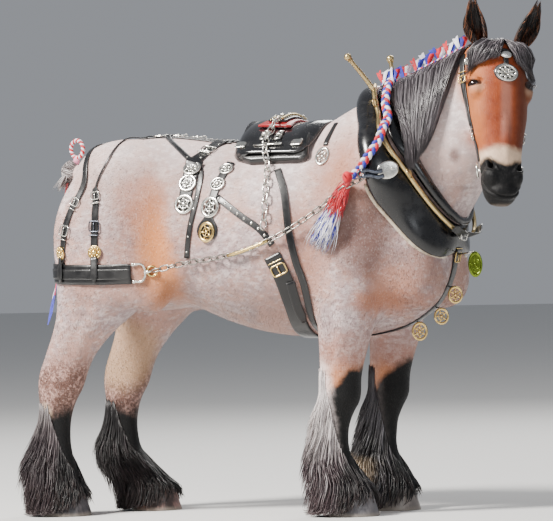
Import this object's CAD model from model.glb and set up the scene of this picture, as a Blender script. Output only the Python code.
import math

import bmesh
import bpy
import numpy as np
from mathutils import Matrix, Vector
from mathutils.bvhtree import BVHTree


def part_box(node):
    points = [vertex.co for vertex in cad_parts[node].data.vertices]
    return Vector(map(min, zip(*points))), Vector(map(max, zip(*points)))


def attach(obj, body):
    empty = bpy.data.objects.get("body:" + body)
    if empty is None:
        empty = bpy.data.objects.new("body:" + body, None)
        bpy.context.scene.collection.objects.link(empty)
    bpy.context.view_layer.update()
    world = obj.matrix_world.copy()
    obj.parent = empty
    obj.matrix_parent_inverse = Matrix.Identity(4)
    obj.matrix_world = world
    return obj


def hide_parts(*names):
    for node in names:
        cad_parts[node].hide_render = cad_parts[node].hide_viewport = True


# Everything is drawn about the horse's own mid line: it faces +X and its right side is at -Y.
# The last stage sets it down in the frame, by the place of its right fore hoof.
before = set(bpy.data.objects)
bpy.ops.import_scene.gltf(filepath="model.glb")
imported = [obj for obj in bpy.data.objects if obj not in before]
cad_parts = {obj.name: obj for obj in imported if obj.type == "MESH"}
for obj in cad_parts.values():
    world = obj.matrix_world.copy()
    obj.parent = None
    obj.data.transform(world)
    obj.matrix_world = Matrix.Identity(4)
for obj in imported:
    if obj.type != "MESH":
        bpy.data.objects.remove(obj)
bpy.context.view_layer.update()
foreHoof = (0.6345, -0.191)
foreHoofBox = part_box("hoof_front_right")
setDown = Vector((
    (foreHoofBox[0][0] + foreHoofBox[1][0]) / 2 - foreHoof[0],
    (foreHoofBox[0][1] + foreHoofBox[1][1]) / 2 - foreHoof[1],
    0.0,
))
bothSides = ((-1, "right"), (1, "left"))
made = []


# Meshes from numbers


def newPiece(name, mesh, material=None):
    # an object that shows this mesh, counted with all that is made
    if material:
        mesh.materials.append(material)
    mesh.shade_smooth()
    piece = bpy.data.objects.new(name, mesh)
    bpy.context.scene.collection.objects.link(piece)
    made.append(piece)
    return piece


def meshPiece(name, points, faces, material=None):
    mesh = bpy.data.meshes.new(name)
    points = np.asarray(points, np.float32).reshape(-1, 3)
    mesh.from_pydata(points.tolist(), [], [tuple(int(i) for i in f) for f in faces])
    mesh.validate()
    mesh.update()
    return newPiece(name, mesh, material)


def gridFaces(rows, columns):
    # the faces of a sheet whose points are given row by row
    corners = [r * columns + c for r in range(rows - 1) for c in range(columns - 1)]
    return [(a, a + 1, a + columns + 1, a + columns) for a in corners]


def store(mesh, key, values):
    # one value for each point, which a finish can read
    layer = mesh.attributes.new(key, "FLOAT", "POINT")
    layer.data.foreach_set("value", np.asarray(values, np.float32))


def faceOut(piece):
    work = bmesh.new()
    work.from_mesh(piece.data)
    bmesh.ops.recalc_face_normals(work, faces=work.faces)
    work.to_mesh(piece.data)
    work.free()
    return piece


def drop(piece):
    made.remove(piece)
    bpy.data.objects.remove(piece)


def joined(name, pieces, material=None):
    # one object that holds all these meshes
    work = bmesh.new()
    for piece in pieces:
        work.from_mesh(piece.data)
    mesh = bpy.data.meshes.new(name)
    work.to_mesh(mesh)
    work.free()
    for piece in pieces:
        drop(piece)
    return newPiece(name, mesh, material)


def settle(piece):
    # the modifiers applied for good
    bpy.context.view_layer.update()
    graph = bpy.context.evaluated_depsgraph_get()
    mesh = bpy.data.meshes.new_from_object(piece.evaluated_get(graph))
    piece.modifiers.clear()
    piece.data = mesh
    return piece


def pointsOf(piece):
    flat = np.empty(len(piece.data.vertices) * 3, np.float32)
    piece.data.vertices.foreach_get("co", flat)
    return flat.reshape(-1, 3).astype(float)


def normalsOf(piece):
    flat = np.empty(len(piece.data.vertices) * 3, np.float32)
    piece.data.vertex_normals.foreach_get("vector", flat)
    return flat.reshape(-1, 3).astype(float)


def setPoints(piece, points):
    piece.data.vertices.foreach_set("co", points.astype(np.float32).ravel())
    piece.data.update()


def smoothRows(rows, steps):
    # rows of numbers, drawn through by a smooth curve with this many steps between each two
    rows = np.array(rows, float)
    padded = np.vstack([2 * rows[0] - rows[1], rows, 2 * rows[-1] - rows[-2]])
    out = []
    for i in range(1, len(padded) - 2):
        a, b, c, d = padded[i - 1 : i + 3]
        for t in np.arange(steps) / steps:
            bend = (2 * a - 5 * b + 4 * c - d) * t * t + (3 * b - a - 3 * c + d) * t**3
            out.append(0.5 * (2 * b + (c - a) * t + bend))
    out.append(rows[-1])
    return np.array(out)


def evenLine(guide, step):
    # a smooth line through the guide's points, in even steps
    fine = smoothRows([tuple(p) for p in guide], 10)
    lengths = np.concatenate([[0], np.cumsum(np.linalg.norm(np.diff(fine, axis=0), axis=1))])
    count = max(2, round(lengths[-1] / step) + 1)
    places = np.linspace(0, lengths[-1], count)
    return [Vector([float(np.interp(s, lengths, fine[:, k])) for k in range(3)]) for s in places]


def oval(centre, across, up, halfWidth, rise, fall, roundness, count):
    # a ring that is an ellipse at roundness 2, and squarer above that
    points = []
    for k in range(count):
        angle = 2 * math.pi * k / count
        c, s = math.cos(angle), math.sin(angle)
        power = 2 / roundness
        side = math.copysign(abs(c) ** power, c) * halfWidth
        high = math.copysign(abs(s) ** power, s) * (rise if s > 0 else fall)
        points.append(Vector(centre) + Vector(across) * side + Vector(up) * high)
    return points


def loft(name, rings, material=None, closed=False):
    # a skin through the rings, capped at both ends unless it closes on itself
    count = len(rings[0])
    points = [tuple(p) for r in rings for p in r]
    faces = []
    last = len(rings) if closed else len(rings) - 1
    for i in range(last):
        n = (i + 1) % len(rings)
        for k in range(count):
            m = (k + 1) % count
            faces.append((i * count + k, i * count + m, n * count + m, n * count + k))
    if not closed:
        faces.append(tuple(range(count)))
        faces.append(tuple((len(rings) - 1) * count + k for k in range(count)))
    return faceOut(meshPiece(name, points, faces, material))


def egg(name, centre, radii, turn=None, sides=24, material=None):
    work = bmesh.new()
    turned = (turn or Matrix.Identity(3)).to_4x4()
    place = Matrix.Translation(Vector(centre)) @ turned @ Matrix.Diagonal((*radii, 1.0))
    bmesh.ops.create_uvsphere(work, u_segments=sides, v_segments=sides * 2 // 3, radius=1.0, matrix=place)
    bmesh.ops.recalc_face_normals(work, faces=work.faces)
    mesh = bpy.data.meshes.new(name)
    work.to_mesh(mesh)
    work.free()
    return newPiece(name, mesh, material)


def soft(value, low, high):
    # 0 below low, 1 above high, smooth between
    t = np.clip((np.asarray(value, float) - low) / (high - low), 0, 1)
    return t * t * (3 - 2 * t)


# Shader arithmetic


class Link:
    # a socket that takes part in Python arithmetic
    def __init__(self, finish, socket):
        self.finish, self.socket = finish, socket

    def calc(self, operation, *values):
        return self.finish.add("Math", {"operation": operation}, *values)

    def __add__(self, other):
        return self.calc("ADD", self, other)

    def __sub__(self, other):
        return self.calc("SUBTRACT", self, other)

    def __rsub__(self, other):
        return self.calc("SUBTRACT", other, self)

    def __mul__(self, other):
        return self.calc("MULTIPLY", self, other)

    __radd__, __rmul__ = __add__, __mul__


class Finish:
    # one material, with its Principled shader and the nodes that feed it
    def __init__(self, name, colour=(0.5, 0.5, 0.5), rough=0.5, metal=0.0, **fixed):
        self.material = bpy.data.materials.new(name)
        self.material.use_nodes = True
        self.tree = self.material.node_tree
        self.shader = self.tree.nodes["Principled BSDF"]
        self.set("Base Color", (*colour, 1))
        self.set("Roughness", rough)
        self.set("Metallic", metal)
        for key, value in fixed.items():
            self.set(key.replace("_", " "), value)

    def set(self, key, value):
        socket = self.shader.inputs[key]
        if isinstance(value, Link):
            self.tree.links.new(value.socket, socket)
        else:
            socket.default_value = value

    def add(self, kind, settings, *values, out=0, **named):
        # any node: its settings first, then the values or links of its sockets
        node = self.tree.nodes.new("ShaderNode" + kind)
        for key, value in settings.items():
            if key == "stops":
                ramp = node.color_ramp
                while len(ramp.elements) < len(value):
                    ramp.elements.new(0.5)
                for element, (place, colour) in zip(ramp.elements, value):
                    element.position, element.color = place, (*colour, 1)
            else:
                setattr(node, key, value)
        pairs = [*enumerate(values), *((key.replace("_", " "), value) for key, value in named.items())]
        for key, value in pairs:
            if value is None:
                continue
            socket = node.inputs[key]
            if isinstance(value, Link):
                self.tree.links.new(value.socket, socket)
            else:
                socket.default_value = value
        return Link(self, node.outputs[out])

    def place(self):
        # where a point is on the horse, before it is set down
        spot = self.add("TexCoord", {}, out="Object")
        return self.add("VectorMath", {"operation": "SUBTRACT"}, spot, tuple(setDown))

    def parts(self, vector):
        first = self.add("SeparateXYZ", {}, vector)
        return [Link(self, output) for output in first.socket.node.outputs]

    def stored(self, key):
        # what store has put on the points
        return self.add("Attribute", {"attribute_name": key}, out="Fac")

    def larger(self, first, second):
        return self.add("Math", {"operation": "MAXIMUM"}, first, second)

    def size(self, value):
        return self.add("Math", {"operation": "ABSOLUTE"}, value)

    def sine(self, value):
        return self.add("Math", {"operation": "SINE"}, value)

    def noise(self, place, scale, detail=2.0, rough=0.5, stretch=None):
        if stretch:
            place = self.add("VectorMath", {"operation": "MULTIPLY"}, place, stretch)
        return self.add("TexNoise", {}, place, Scale=scale, Detail=detail, Roughness=rough)

    def band(self, value, low, high):
        # 0 at low, 1 at high, smooth between; low may be the larger
        return self.add("MapRange", {"interpolation_type": "SMOOTHSTEP"}, value, low, high, 0.0, 1.0)

    def mix(self, factor, first, second):
        # the Mix node's first socket is the factor, and its seventh and eighth are the two colours
        first, second = ((*c, 1) if isinstance(c, tuple) else c for c in (first, second))
        return self.add("Mix", {"data_type": "RGBA"}, factor, *[None] * 5, first, second, out=2)

    def spot(self, place, centre, radii, edge, wobble=None):
        # 1 inside an oval patch with a soft, uneven edge, 0 outside
        near = self.add("VectorMath", {"operation": "SUBTRACT"}, place, centre)
        near = self.add("VectorMath", {"operation": "DIVIDE"}, near, radii)
        far = self.add("VectorMath", {"operation": "LENGTH"}, near, out="Value")
        if wobble:
            far = far + wobble
        return self.band(far, 1 + edge, 1 - edge)

    def bump(self, height, depth, strength):
        self.set("Normal", self.add("Bump", {}, Strength=strength, Distance=depth, Height=height))


# Camera, light and floor

view = {
    "from": (8.69984, -18.12616, 1.15),
    "at": (0.24748, 0.0, 0.97721),
    "roll": 1.5,
    "lens": 336.4,
    "sensor": 36,
    "clip": (0.5, 120),
    "floor": (0.62, 0.62, 0.61),
    "floorReach": 40,
    "lightsAim": Vector((0, 0, 0.9)),
    "lights": [
        # place, size, power, colour
        ((-4.5, -6.5, 8.0), 2.4, 3850, (1.0, 0.96, 0.91)),
        ((8.5, -6.5, 4.5), 4.0, 210, (0.92, 0.96, 1.0)),
        ((-1.0, 7.5, 6.0), 4.0, 520, (1.0, 0.98, 0.95)),
    ],
    "sky": ((0.86, 0.90, 0.98), 0.34),
}


def setStage():
    scene = bpy.context.scene
    start, aim = Vector(view["from"]) + setDown, Vector(view["at"]) + setDown
    ahead = (aim - start).normalized()
    right = ahead.cross(Vector((0, 0, 1))).normalized()
    up = right.cross(ahead)
    roll = math.radians(view["roll"])
    right, up = right * math.cos(roll) - up * math.sin(roll), up * math.cos(roll) + right * math.sin(roll)
    camera = bpy.data.objects.new("camera", bpy.data.cameras.new("camera"))
    camera.data.lens, camera.data.sensor_width = view["lens"], view["sensor"]
    camera.data.clip_start, camera.data.clip_end = view["clip"]
    camera.matrix_world = Matrix((
        (right.x, up.x, -ahead.x, start.x), (right.y, up.y, -ahead.y, start.y),
        (right.z, up.z, -ahead.z, start.z), (0, 0, 0, 1),
    ))
    scene.collection.objects.link(camera)
    scene.camera = camera
    for k, (place, size, power, colour) in enumerate(view["lights"]):
        lamp = bpy.data.lights.new("lamp%d" % k, "AREA")
        lamp.size, lamp.energy, lamp.color = size, power, colour
        holder = bpy.data.objects.new("lamp%d" % k, lamp)
        holder.location = place
        holder.rotation_mode = "QUATERNION"
        holder.rotation_quaternion = (view["lightsAim"] - Vector(place)).to_track_quat("-Z", "Y")
        scene.collection.objects.link(holder)
    world = bpy.data.worlds.new("sky")
    world.use_nodes = True
    colour, power = view["sky"]
    background = world.node_tree.nodes["Background"]
    background.inputs["Color"].default_value = (*colour, 1)
    background.inputs["Strength"].default_value = power
    scene.world = world
    ground = Finish("ground", view["floor"], 0.9)
    far = view["floorReach"]
    corners = [(-far, -far, 0), (far, -far, 0), (far, far, 0), (-far, far, 0)]
    floor = meshPiece("floor", corners, [(0, 1, 2, 3)], ground.material)
    made.remove(floor)
    print("stage set")


setStage()


# The body's clay

body = {
    # steps between two given rows, the size of the remeshed faces, rounds of smoothing, and how far the skin
    # is drawn in for the hair to lie on it
    "steps": 4,
    "voxel": 0.0070,
    "blend": 118,
    "ease": 7,
    "inset": 0.0012,
    # across the trunk: x, top z, bottom z, half width, height of the widest line, roundness
    "trunk": [
        (-0.615, 1.200, 1.020, 0.090, 1.12, 2.0), (-0.575, 1.335, 0.920, 0.200, 1.13, 2.0),
        (-0.490, 1.405, 0.850, 0.275, 1.14, 2.1), (-0.360, 1.452, 0.800, 0.325, 1.15, 2.2),
        (-0.220, 1.470, 0.790, 0.335, 1.14, 2.2), (-0.080, 1.460, 0.800, 0.318, 1.11, 2.2),
        (0.060, 1.442, 0.746, 0.325, 1.07, 2.2), (0.200, 1.432, 0.704, 0.350, 1.03, 2.2),
        (0.340, 1.438, 0.682, 0.358, 1.01, 2.2), (0.470, 1.470, 0.680, 0.335, 1.02, 2.1),
        (0.580, 1.510, 0.676, 0.305, 1.05, 2.0), (0.700, 1.490, 0.690, 0.285, 1.05, 2.0),
        (0.820, 1.410, 0.725, 0.262, 1.03, 2.0), (0.915, 1.300, 0.790, 0.225, 1.01, 2.0),
        (0.980, 1.170, 0.875, 0.160, 1.00, 2.0), (1.005, 1.080, 0.950, 0.080, 1.00, 2.0),
    ],
    # across the neck's line: centre x, y, z, half depth, half width
    "neck": [
        (0.66, 0.000, 1.20, 0.350, 0.265), (0.80, 0.000, 1.31, 0.322, 0.222),
        (0.93, -0.005, 1.42, 0.278, 0.176), (1.05, -0.018, 1.525, 0.230, 0.138),
        (1.14, -0.040, 1.600, 0.190, 0.112), (1.215, -0.070, 1.655, 0.160, 0.098),
    ],
    # on both sides: centre, radii, turn about Y
    "muscles": [
        ((-0.270, 0.150, 1.285), (0.270, 0.155, 0.180), 10),
        ((-0.455, 0.180, 1.090), (0.160, 0.150, 0.270), 8),
        ((-0.215, 0.235, 0.960), (0.125, 0.095, 0.190), -20),
        ((0.690, 0.195, 1.180), (0.150, 0.115, 0.330), 28),
        ((0.640, 0.225, 0.930), (0.165, 0.095, 0.170), 10),
        ((0.885, 0.115, 0.930), (0.115, 0.125, 0.160), -15),
    ],
    # level rings from the top down to the coronet: z, x, distance from the mid line, half length, half width
    "foreleg": [
        (0.980, 0.670, 0.200, 0.150, 0.095), (0.860, 0.655, 0.212, 0.135, 0.098),
        (0.760, 0.636, 0.212, 0.120, 0.094), (0.660, 0.620, 0.208, 0.104, 0.084),
        (0.560, 0.602, 0.202, 0.087, 0.072), (0.500, 0.597, 0.199, 0.080, 0.068),
        (0.450, 0.594, 0.197, 0.079, 0.070), (0.405, 0.582, 0.195, 0.067, 0.060),
        (0.350, 0.570, 0.193, 0.056, 0.047), (0.280, 0.566, 0.192, 0.053, 0.043),
        (0.220, 0.572, 0.191, 0.060, 0.050), (0.175, 0.590, 0.191, 0.068, 0.061),
        (0.135, 0.622, 0.191, 0.062, 0.058), (0.100, 0.636, 0.191, 0.070, 0.070),
        (0.082, 0.640, 0.191, 0.074, 0.074), (0.066, 0.640, 0.191, 0.070, 0.070),
    ],
    "hindleg": [
        (1.060, -0.370, 0.185, 0.235, 0.140), (0.950, -0.375, 0.205, 0.225, 0.132),
        (0.860, -0.395, 0.212, 0.200, 0.122), (0.780, -0.440, 0.212, 0.160, 0.108),
        (0.700, -0.505, 0.208, 0.124, 0.092), (0.620, -0.560, 0.202, 0.108, 0.078),
        (0.560, -0.590, 0.198, 0.104, 0.074), (0.500, -0.605, 0.195, 0.094, 0.072),
        (0.440, -0.622, 0.193, 0.074, 0.062), (0.370, -0.630, 0.192, 0.062, 0.050),
        (0.290, -0.630, 0.191, 0.058, 0.047), (0.225, -0.626, 0.190, 0.064, 0.053),
        (0.175, -0.616, 0.190, 0.070, 0.063), (0.135, -0.602, 0.190, 0.064, 0.060),
        (0.100, -0.592, 0.190, 0.070, 0.072), (0.082, -0.590, 0.190, 0.075, 0.076),
        (0.066, -0.590, 0.190, 0.071, 0.072),
    ],
    # how far a left leg's joints stand ahead of the right one's, by height
    "foreStep": [
        (0.0, 0.002), (0.09, 0.006), (0.18, 0.022), (0.30, 0.034), (0.45, 0.030), (0.66, 0.026), (0.98, 0.0),
    ],
    "hindStep": [
        (0.0, 0.215), (0.09, 0.205), (0.175, 0.150), (0.25, 0.110), (0.35, 0.100),
        (0.56, 0.088), (0.70, 0.070), (0.90, 0.02), (1.06, 0.0),
    ],
    "hoofHeight": 0.082,
}
fourLegs = [(kind, side) for kind in ("foreleg", "hindleg") for side in (-1, 1)]
head = {
    "poll": Vector((1.266, -0.100, 1.798)),
    "lean": Vector((0.072, -0.187, -0.650)),
    "turn": math.radians(-48),
    # down the face, front, back, half width, depth of the widest line
    "rings": [
        (0.000, -0.030, 0.105, 0.050, 0.070), (0.024, -0.006, 0.165, 0.080, 0.080),
        (0.067, 0.008, 0.215, 0.098, 0.085), (0.124, 0.014, 0.262, 0.110, 0.085),
        (0.181, 0.016, 0.282, 0.117, 0.080), (0.239, 0.013, 0.276, 0.112, 0.078),
        (0.296, 0.009, 0.248, 0.108, 0.074), (0.353, 0.005, 0.212, 0.097, 0.070),
        (0.411, 0.002, 0.180, 0.086, 0.066), (0.468, 0.000, 0.160, 0.078, 0.064),
        (0.516, -0.002, 0.150, 0.072, 0.064), (0.559, -0.008, 0.144, 0.073, 0.066),
        (0.592, -0.020, 0.132, 0.068, 0.070), (0.621, -0.042, 0.118, 0.054, 0.078),
        (0.638, -0.066, 0.104, 0.034, 0.086),
    ],
    # cheek, brow, face crest, nostril rim and poll, on both sides: left, down, out, and radii
    "swells": [
        ((0.062, 0.215, -0.185), (0.050, 0.120, 0.100)), ((0.098, 0.190, -0.048), (0.030, 0.052, 0.036)),
        ((0.088, 0.300, -0.082), (0.014, 0.100, 0.016)), ((0.049, 0.535, -0.040), (0.030, 0.045, 0.036)),
        ((0.070, 0.060, -0.060), (0.036, 0.060, 0.060)),
    ],
    # nose bone, upper lip, lower lip and chin
    "middles": [
        ((0, 0.335, -0.020), (0.034, 0.210, 0.030)), ((0, 0.592, -0.055), (0.058, 0.036, 0.048)),
        ((0, 0.602, -0.098), (0.046, 0.034, 0.034)), ((0, 0.570, -0.125), (0.036, 0.034, 0.028)),
    ],
    "eye": (0.102, 0.180, -0.050),
    "eyePatch": (0.094, 0.196, -0.046),
    "eyeRadius": 0.0265,
    "eyeOpening": (0.0225, 0.0130, 0.0100),
    # where the mesh is finest, apart from the eyes: nostrils, lips and mouth, each with its reach
    "fine": [((0.052, 0.505, -0.022), 0.042), ((0.040, 0.560, -0.075), 0.050), ((0.0, 0.590, -0.080), 0.055)],
    "eyeFine": 0.050,
    "nostril": (0.056, 0.500, -0.022),
    "mouthCorner": (0.062, 0.500, -0.112),
    "mouthFront": (0.000, 0.586, -0.050),
}


def headTurn():
    # columns: to the horse's left, down the face, out of it
    down = head["lean"].normalized()
    out = Vector((math.cos(head["turn"]), math.sin(head["turn"]), 0))
    out = (out - down * out.dot(down)).normalized()
    return Matrix((out.cross(down).normalized(), down, out)).transposed()


def onHead(left, down, out):
    return head["poll"] + headTurn() @ Vector((left, down, out))


def toHead(points):
    return (np.asarray(points) - np.array(head["poll"])) @ np.array(headTurn())


def lineFrames(centres):
    frames = []
    for i in range(len(centres)):
        ahead = (centres[min(i + 1, len(centres) - 1)] - centres[max(i - 1, 0)]).normalized()
        across = Vector((0, 0, 1)).cross(ahead).normalized()
        frames.append((ahead, ahead.cross(across).normalized(), across))
    return frames


def legRows(kind, side):
    step = body["foreStep" if kind == "foreleg" else "hindStep"]
    rows = []
    for z, x, out, halfLength, halfWidth in smoothRows(body[kind], body["steps"]):
        ahead = float(np.interp(z, *zip(*step))) if side > 0 else 0.0
        rows.append((Vector((x + ahead, out * side, z)), halfLength, halfWidth))
    return rows


def headShare(points):
    local = toHead(points)
    behind = -local[:, 2] - 0.24 + 0.30 * np.maximum(0.0, 0.12 - local[:, 1])
    share = np.clip((0.06 - behind) / 0.10, 0, 1)
    return np.where((points[:, 2] > 1.1) & (points[:, 0] > 1.0), share, 0.0)


def clayForms():
    forms = []
    rings = []
    for x, top, bottom, halfWidth, wideAt, roundness in smoothRows(body["trunk"], body["steps"]):
        rise, fall = top - wideAt, wideAt - bottom
        rings.append(oval((x, 0, wideAt), (0, 1, 0), (0, 0, 1), halfWidth, rise, fall, roundness, 48))
    forms.append(loft("clay", rings))
    rows = smoothRows(body["neck"], body["steps"])
    centres = [Vector(row[:3]) for row in rows]
    forms.append(loft("clay", [
        oval(centre, across, up, row[4], row[3], row[3], 1.9, 40)
        for centre, (_, up, across), row in zip(centres, lineFrames(centres), rows)
    ]))
    for centre, radii, turn in body["muscles"]:
        for side in (-1, 1):
            spun = Matrix.Rotation(math.radians(turn), 3, "Y")
            forms.append(egg("clay", (centre[0], centre[1] * side, centre[2]), radii, spun, 32))
    for kind, side in fourLegs:
        forms.append(loft("clay", [
            oval(centre, (1, 0, 0), (0, 1, 0), length, width, width, 2.2, 32)
            for centre, length, width in legRows(kind, side)
        ]))
    turn = headTurn()
    rings = []
    for down, front, back, halfWidth, wideAt in smoothRows(head["rings"], body["steps"]):
        centre, rise, fall = onHead(0, down, -wideAt), front + wideAt, back - wideAt
        rings.append(oval(centre, turn.col[0], turn.col[2], halfWidth, rise, fall, 2.15, 40))
    forms.append(loft("clay", rings))
    swells = [((p[0] * side, p[1], p[2]), r) for p, r in head["swells"] for side in (-1, 1)]
    for place, radii in swells + head["middles"]:
        forms.append(egg("clay", onHead(*place), radii, turn, 32))
    return forms


def eyeFrame(side):
    centre = onHead(head["eye"][0] * side, head["eye"][1], head["eye"][2])
    turn = headTurn()
    look = (turn.col[0] * side * 0.80 + turn.col[2] * 0.60).normalized()
    up = (-turn.col[1] - look * look.dot(-turn.col[1])).normalized()
    return centre, look, up, look.cross(up)


def denser(piece, chosen):
    # each chosen face split in four
    work = bmesh.new()
    work.from_mesh(piece.data)
    work.verts.ensure_lookup_table()
    marks = chosen(np.array([v.co for v in work.verts]))
    edges = [e for e in work.edges if marks[e.verts[0].index] and marks[e.verts[1].index]]
    bmesh.ops.subdivide_edges(work, edges=edges, cuts=1, use_grid_fill=True)
    bmesh.ops.triangulate(work, faces=[f for f in work.faces if len(f.verts) > 4])
    work.to_mesh(piece.data)
    work.free()


# Soft furrows and swellings over the clay: a line of places on the right side, radius, and height or depth
furrows = [
    ([(0.455, -0.30, 1.36), (0.500, -0.33, 1.18), (0.515, -0.34, 1.02), (0.500, -0.33, 0.88)], 0.050, -0.010),
    ([(0.900, -0.20, 1.20), (0.850, -0.25, 1.06), (0.800, -0.28, 0.95), (0.780, -0.28, 0.86)], 0.045, -0.010),
    ([(-0.080, -0.32, 1.20), (-0.110, -0.32, 1.05), (-0.150, -0.32, 0.90)], 0.060, -0.014),
    ([(-0.060, -0.31, 1.30), (0.010, -0.32, 1.22)], 0.070, -0.008),
    ([(-0.360, -0.33, 1.22), (-0.330, -0.34, 1.05), (-0.280, -0.34, 0.92)], 0.055, -0.007),
    ([(-0.560, -0.27, 1.05), (-0.520, -0.29, 0.92), (-0.480, -0.27, 0.80)], 0.040, -0.009),
    ([(0.700, -0.29, 1.10), (0.640, -0.32, 1.00), (0.585, -0.31, 0.92)], 0.040, -0.008),
    ([(0.660, -0.30, 0.86), (0.650, -0.30, 0.74), (0.630, -0.28, 0.64)], 0.028, 0.006),
    ([(0.600, -0.30, 0.80), (0.595, -0.29, 0.68), (0.590, -0.27, 0.58)], 0.022, -0.006),
    ([(-0.420, -0.31, 0.82), (-0.480, -0.29, 0.72), (-0.530, -0.27, 0.63)], 0.030, -0.007),
    ([(-0.640, -0.25, 0.60), (-0.655, -0.24, 0.52)], 0.024, -0.008),
    ([(-0.590, -0.27, 0.55), (-0.600, -0.265, 0.47)], 0.022, 0.005),
    ([(0.575, -0.235, 0.38), (0.575, -0.232, 0.30), (0.578, -0.232, 0.24)], 0.016, -0.005),
    ([(-0.640, -0.235, 0.38), (-0.640, -0.232, 0.30), (-0.636, -0.232, 0.25)], 0.016, -0.005),
    ([(0.640, -0.20, 0.49), (0.640, -0.20, 0.44)], 0.030, 0.006),
    ([(0.960, 0.0, 1.12), (0.985, 0.0, 0.98), (0.950, 0.0, 0.84)], 0.035, -0.012),
]


def sculpt(skin):
    points, normals = pointsOf(skin), normalsOf(skin)
    for line, radius, height in furrows:
        for side in (1, -1):
            spots = np.array([tuple(p) for p in evenLine([(x, y * side, z) for x, y, z in line], radius / 3)])
            near = np.full(len(points), 9.0)
            for spot in spots:
                near = np.minimum(near, np.linalg.norm(points - spot, axis=1))
            points += normals * (height * np.exp(-((near / radius) ** 2)))[:, None]
            if all(abs(p[1]) < 1e-6 for p in line):
                break
    turn = np.array(headTurn())
    local = toHead(points)
    onFace = headShare(points) > 0.5
    # the mouth: a groove from corner to corner, with a lip above and below
    corner, front = np.array(head["mouthCorner"]), np.array(head["mouthFront"])
    ahead = np.array([0, front[1] - corner[1], front[2] - corner[2]])
    ahead /= np.linalg.norm(ahead)
    off = local - np.array([0, corner[1], corner[2]])
    high = off @ np.array([0, -ahead[2], ahead[1]])
    along = soft(off @ ahead, -0.016, 0.012) * onFace
    swell = 0.0030 * np.exp(-(((np.abs(high) - 0.012) / 0.008) ** 2))
    groove = 0.0075 * np.exp(-((high / 0.0026) ** 2))
    points += normals * (along * (swell - groove))[:, None]
    # the chin's groove
    chin = np.linalg.norm((local - np.array([0, 0.545, -0.148])) / np.array([0.05, 0.016, 0.03]), axis=1)
    points -= normals * (0.005 * np.exp(-(chin**2)) * onFace)[:, None]
    for side in (-1, 1):
        # the nostril: a comma, deep, with a raised rim
        place = np.array(onHead(head["nostril"][0] * side, head["nostril"][1], head["nostril"][2]))
        start = points[np.argmin(np.linalg.norm(points - place, axis=1))]
        out = normals[np.argmin(np.linalg.norm(points - place, axis=1))]
        slit = turn[:, 1] * 0.90 - turn[:, 0] * side * 0.34 + turn[:, 2] * 0.10
        slit = slit - out * (slit @ out)
        slit /= np.linalg.norm(slit)
        across = np.cross(out, slit)
        off = points - start
        u, v = off @ slit, off @ across * side
        v = v + 0.30 * np.maximum(0, u - 0.004) ** 2 / 0.02
        far = np.sqrt((u / 0.0225) ** 2 + (v / (0.0085 + 0.0035 * soft(u, -0.010, 0.014))) ** 2)
        near = np.linalg.norm(off, axis=1) < 0.06
        rim = 0.0042 * np.exp(-(((far - 1.45) / 0.42) ** 2))
        points += normals * ((rim - 0.024 * soft(far, 1.15, 0.35)) * near)[:, None]
        # the eye: the skin drawn over the ball, open in an almond
        centre, look, up, across = (np.array(v) for v in eyeFrame(side))
        off = points - centre
        a, b, o = off @ across, off @ up, off @ look
        wide, above, below = head["eyeOpening"]
        tilt = b - 0.10 * a * side
        inside = (a / wide) ** 2 + (tilt / np.where(tilt > 0, above, below)) ** 2
        near = (np.linalg.norm(off, axis=1) < 0.060) & (o > 0)
        ball = np.sqrt(np.maximum((head["eyeRadius"] + 0.0034) ** 2 - a * a - b * b, 0.0))
        hidden = np.sqrt(np.maximum(head["eyeRadius"] ** 2 - a * a - b * b, 0.0)) - 0.0065
        lidShare = soft(inside, 4.2, 1.2)
        target = o + (ball - o) * lidShare
        fold = 0.0016 * np.exp(-(((inside - 2.6) / 0.55) ** 2)) * (tilt > 0)
        target = np.where(inside < 1.0, np.minimum(o, hidden), target - fold)
        points += look * ((target - o) * near)[:, None]
    setPoints(skin, points)


def makeSkin():
    skin = joined("skin", clayForms())
    remesh = skin.modifiers.new("even", "REMESH")
    remesh.mode = "VOXEL"
    remesh.voxel_size = body["voxel"]
    settle(skin)
    points = pointsOf(skin)
    low = np.clip((0.62 - points[:, 2]) / 0.12, 0, 1)
    loose = (1 - headShare(points)) * (1 - 0.75 * low)
    group = skin.vertex_groups.new(name="loose")
    levels = 32
    for level in range(levels + 1):
        chosen = np.where(np.round(loose * levels).astype(int) == level)[0]
        group.add([int(i) for i in chosen], level / levels, "REPLACE")
    blend = skin.modifiers.new("blend", "SMOOTH")
    blend.factor, blend.iterations, blend.vertex_group = 0.8, body["blend"], "loose"
    ease = skin.modifiers.new("ease", "SMOOTH")
    ease.factor, ease.iterations = 0.5, body["ease"]
    settle(skin)
    skin.vertex_groups.clear()
    denser(skin, lambda p: (headShare(p) > 0.6) & (toHead(p)[:, 1] > -0.05))

    def fine(p):
        local = np.abs(toHead(p) * np.array([1, 0, 0])) + toHead(p) * np.array([0, 1, 1])
        chosen = np.zeros(len(p), bool)
        for spot, reach in [(head["eye"], head["eyeFine"]), *head["fine"]]:
            chosen |= np.linalg.norm(local - np.array(spot), axis=1) < reach
        return (headShare(p) > 0.6) & chosen

    denser(skin, fine)
    sculpt(skin)
    points = pointsOf(skin)
    setPoints(skin, points - normalsOf(skin) * body["inset"])
    skin.data.shade_smooth()
    print("skin", len(skin.data.polygons), "faces")
    return skin


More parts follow.
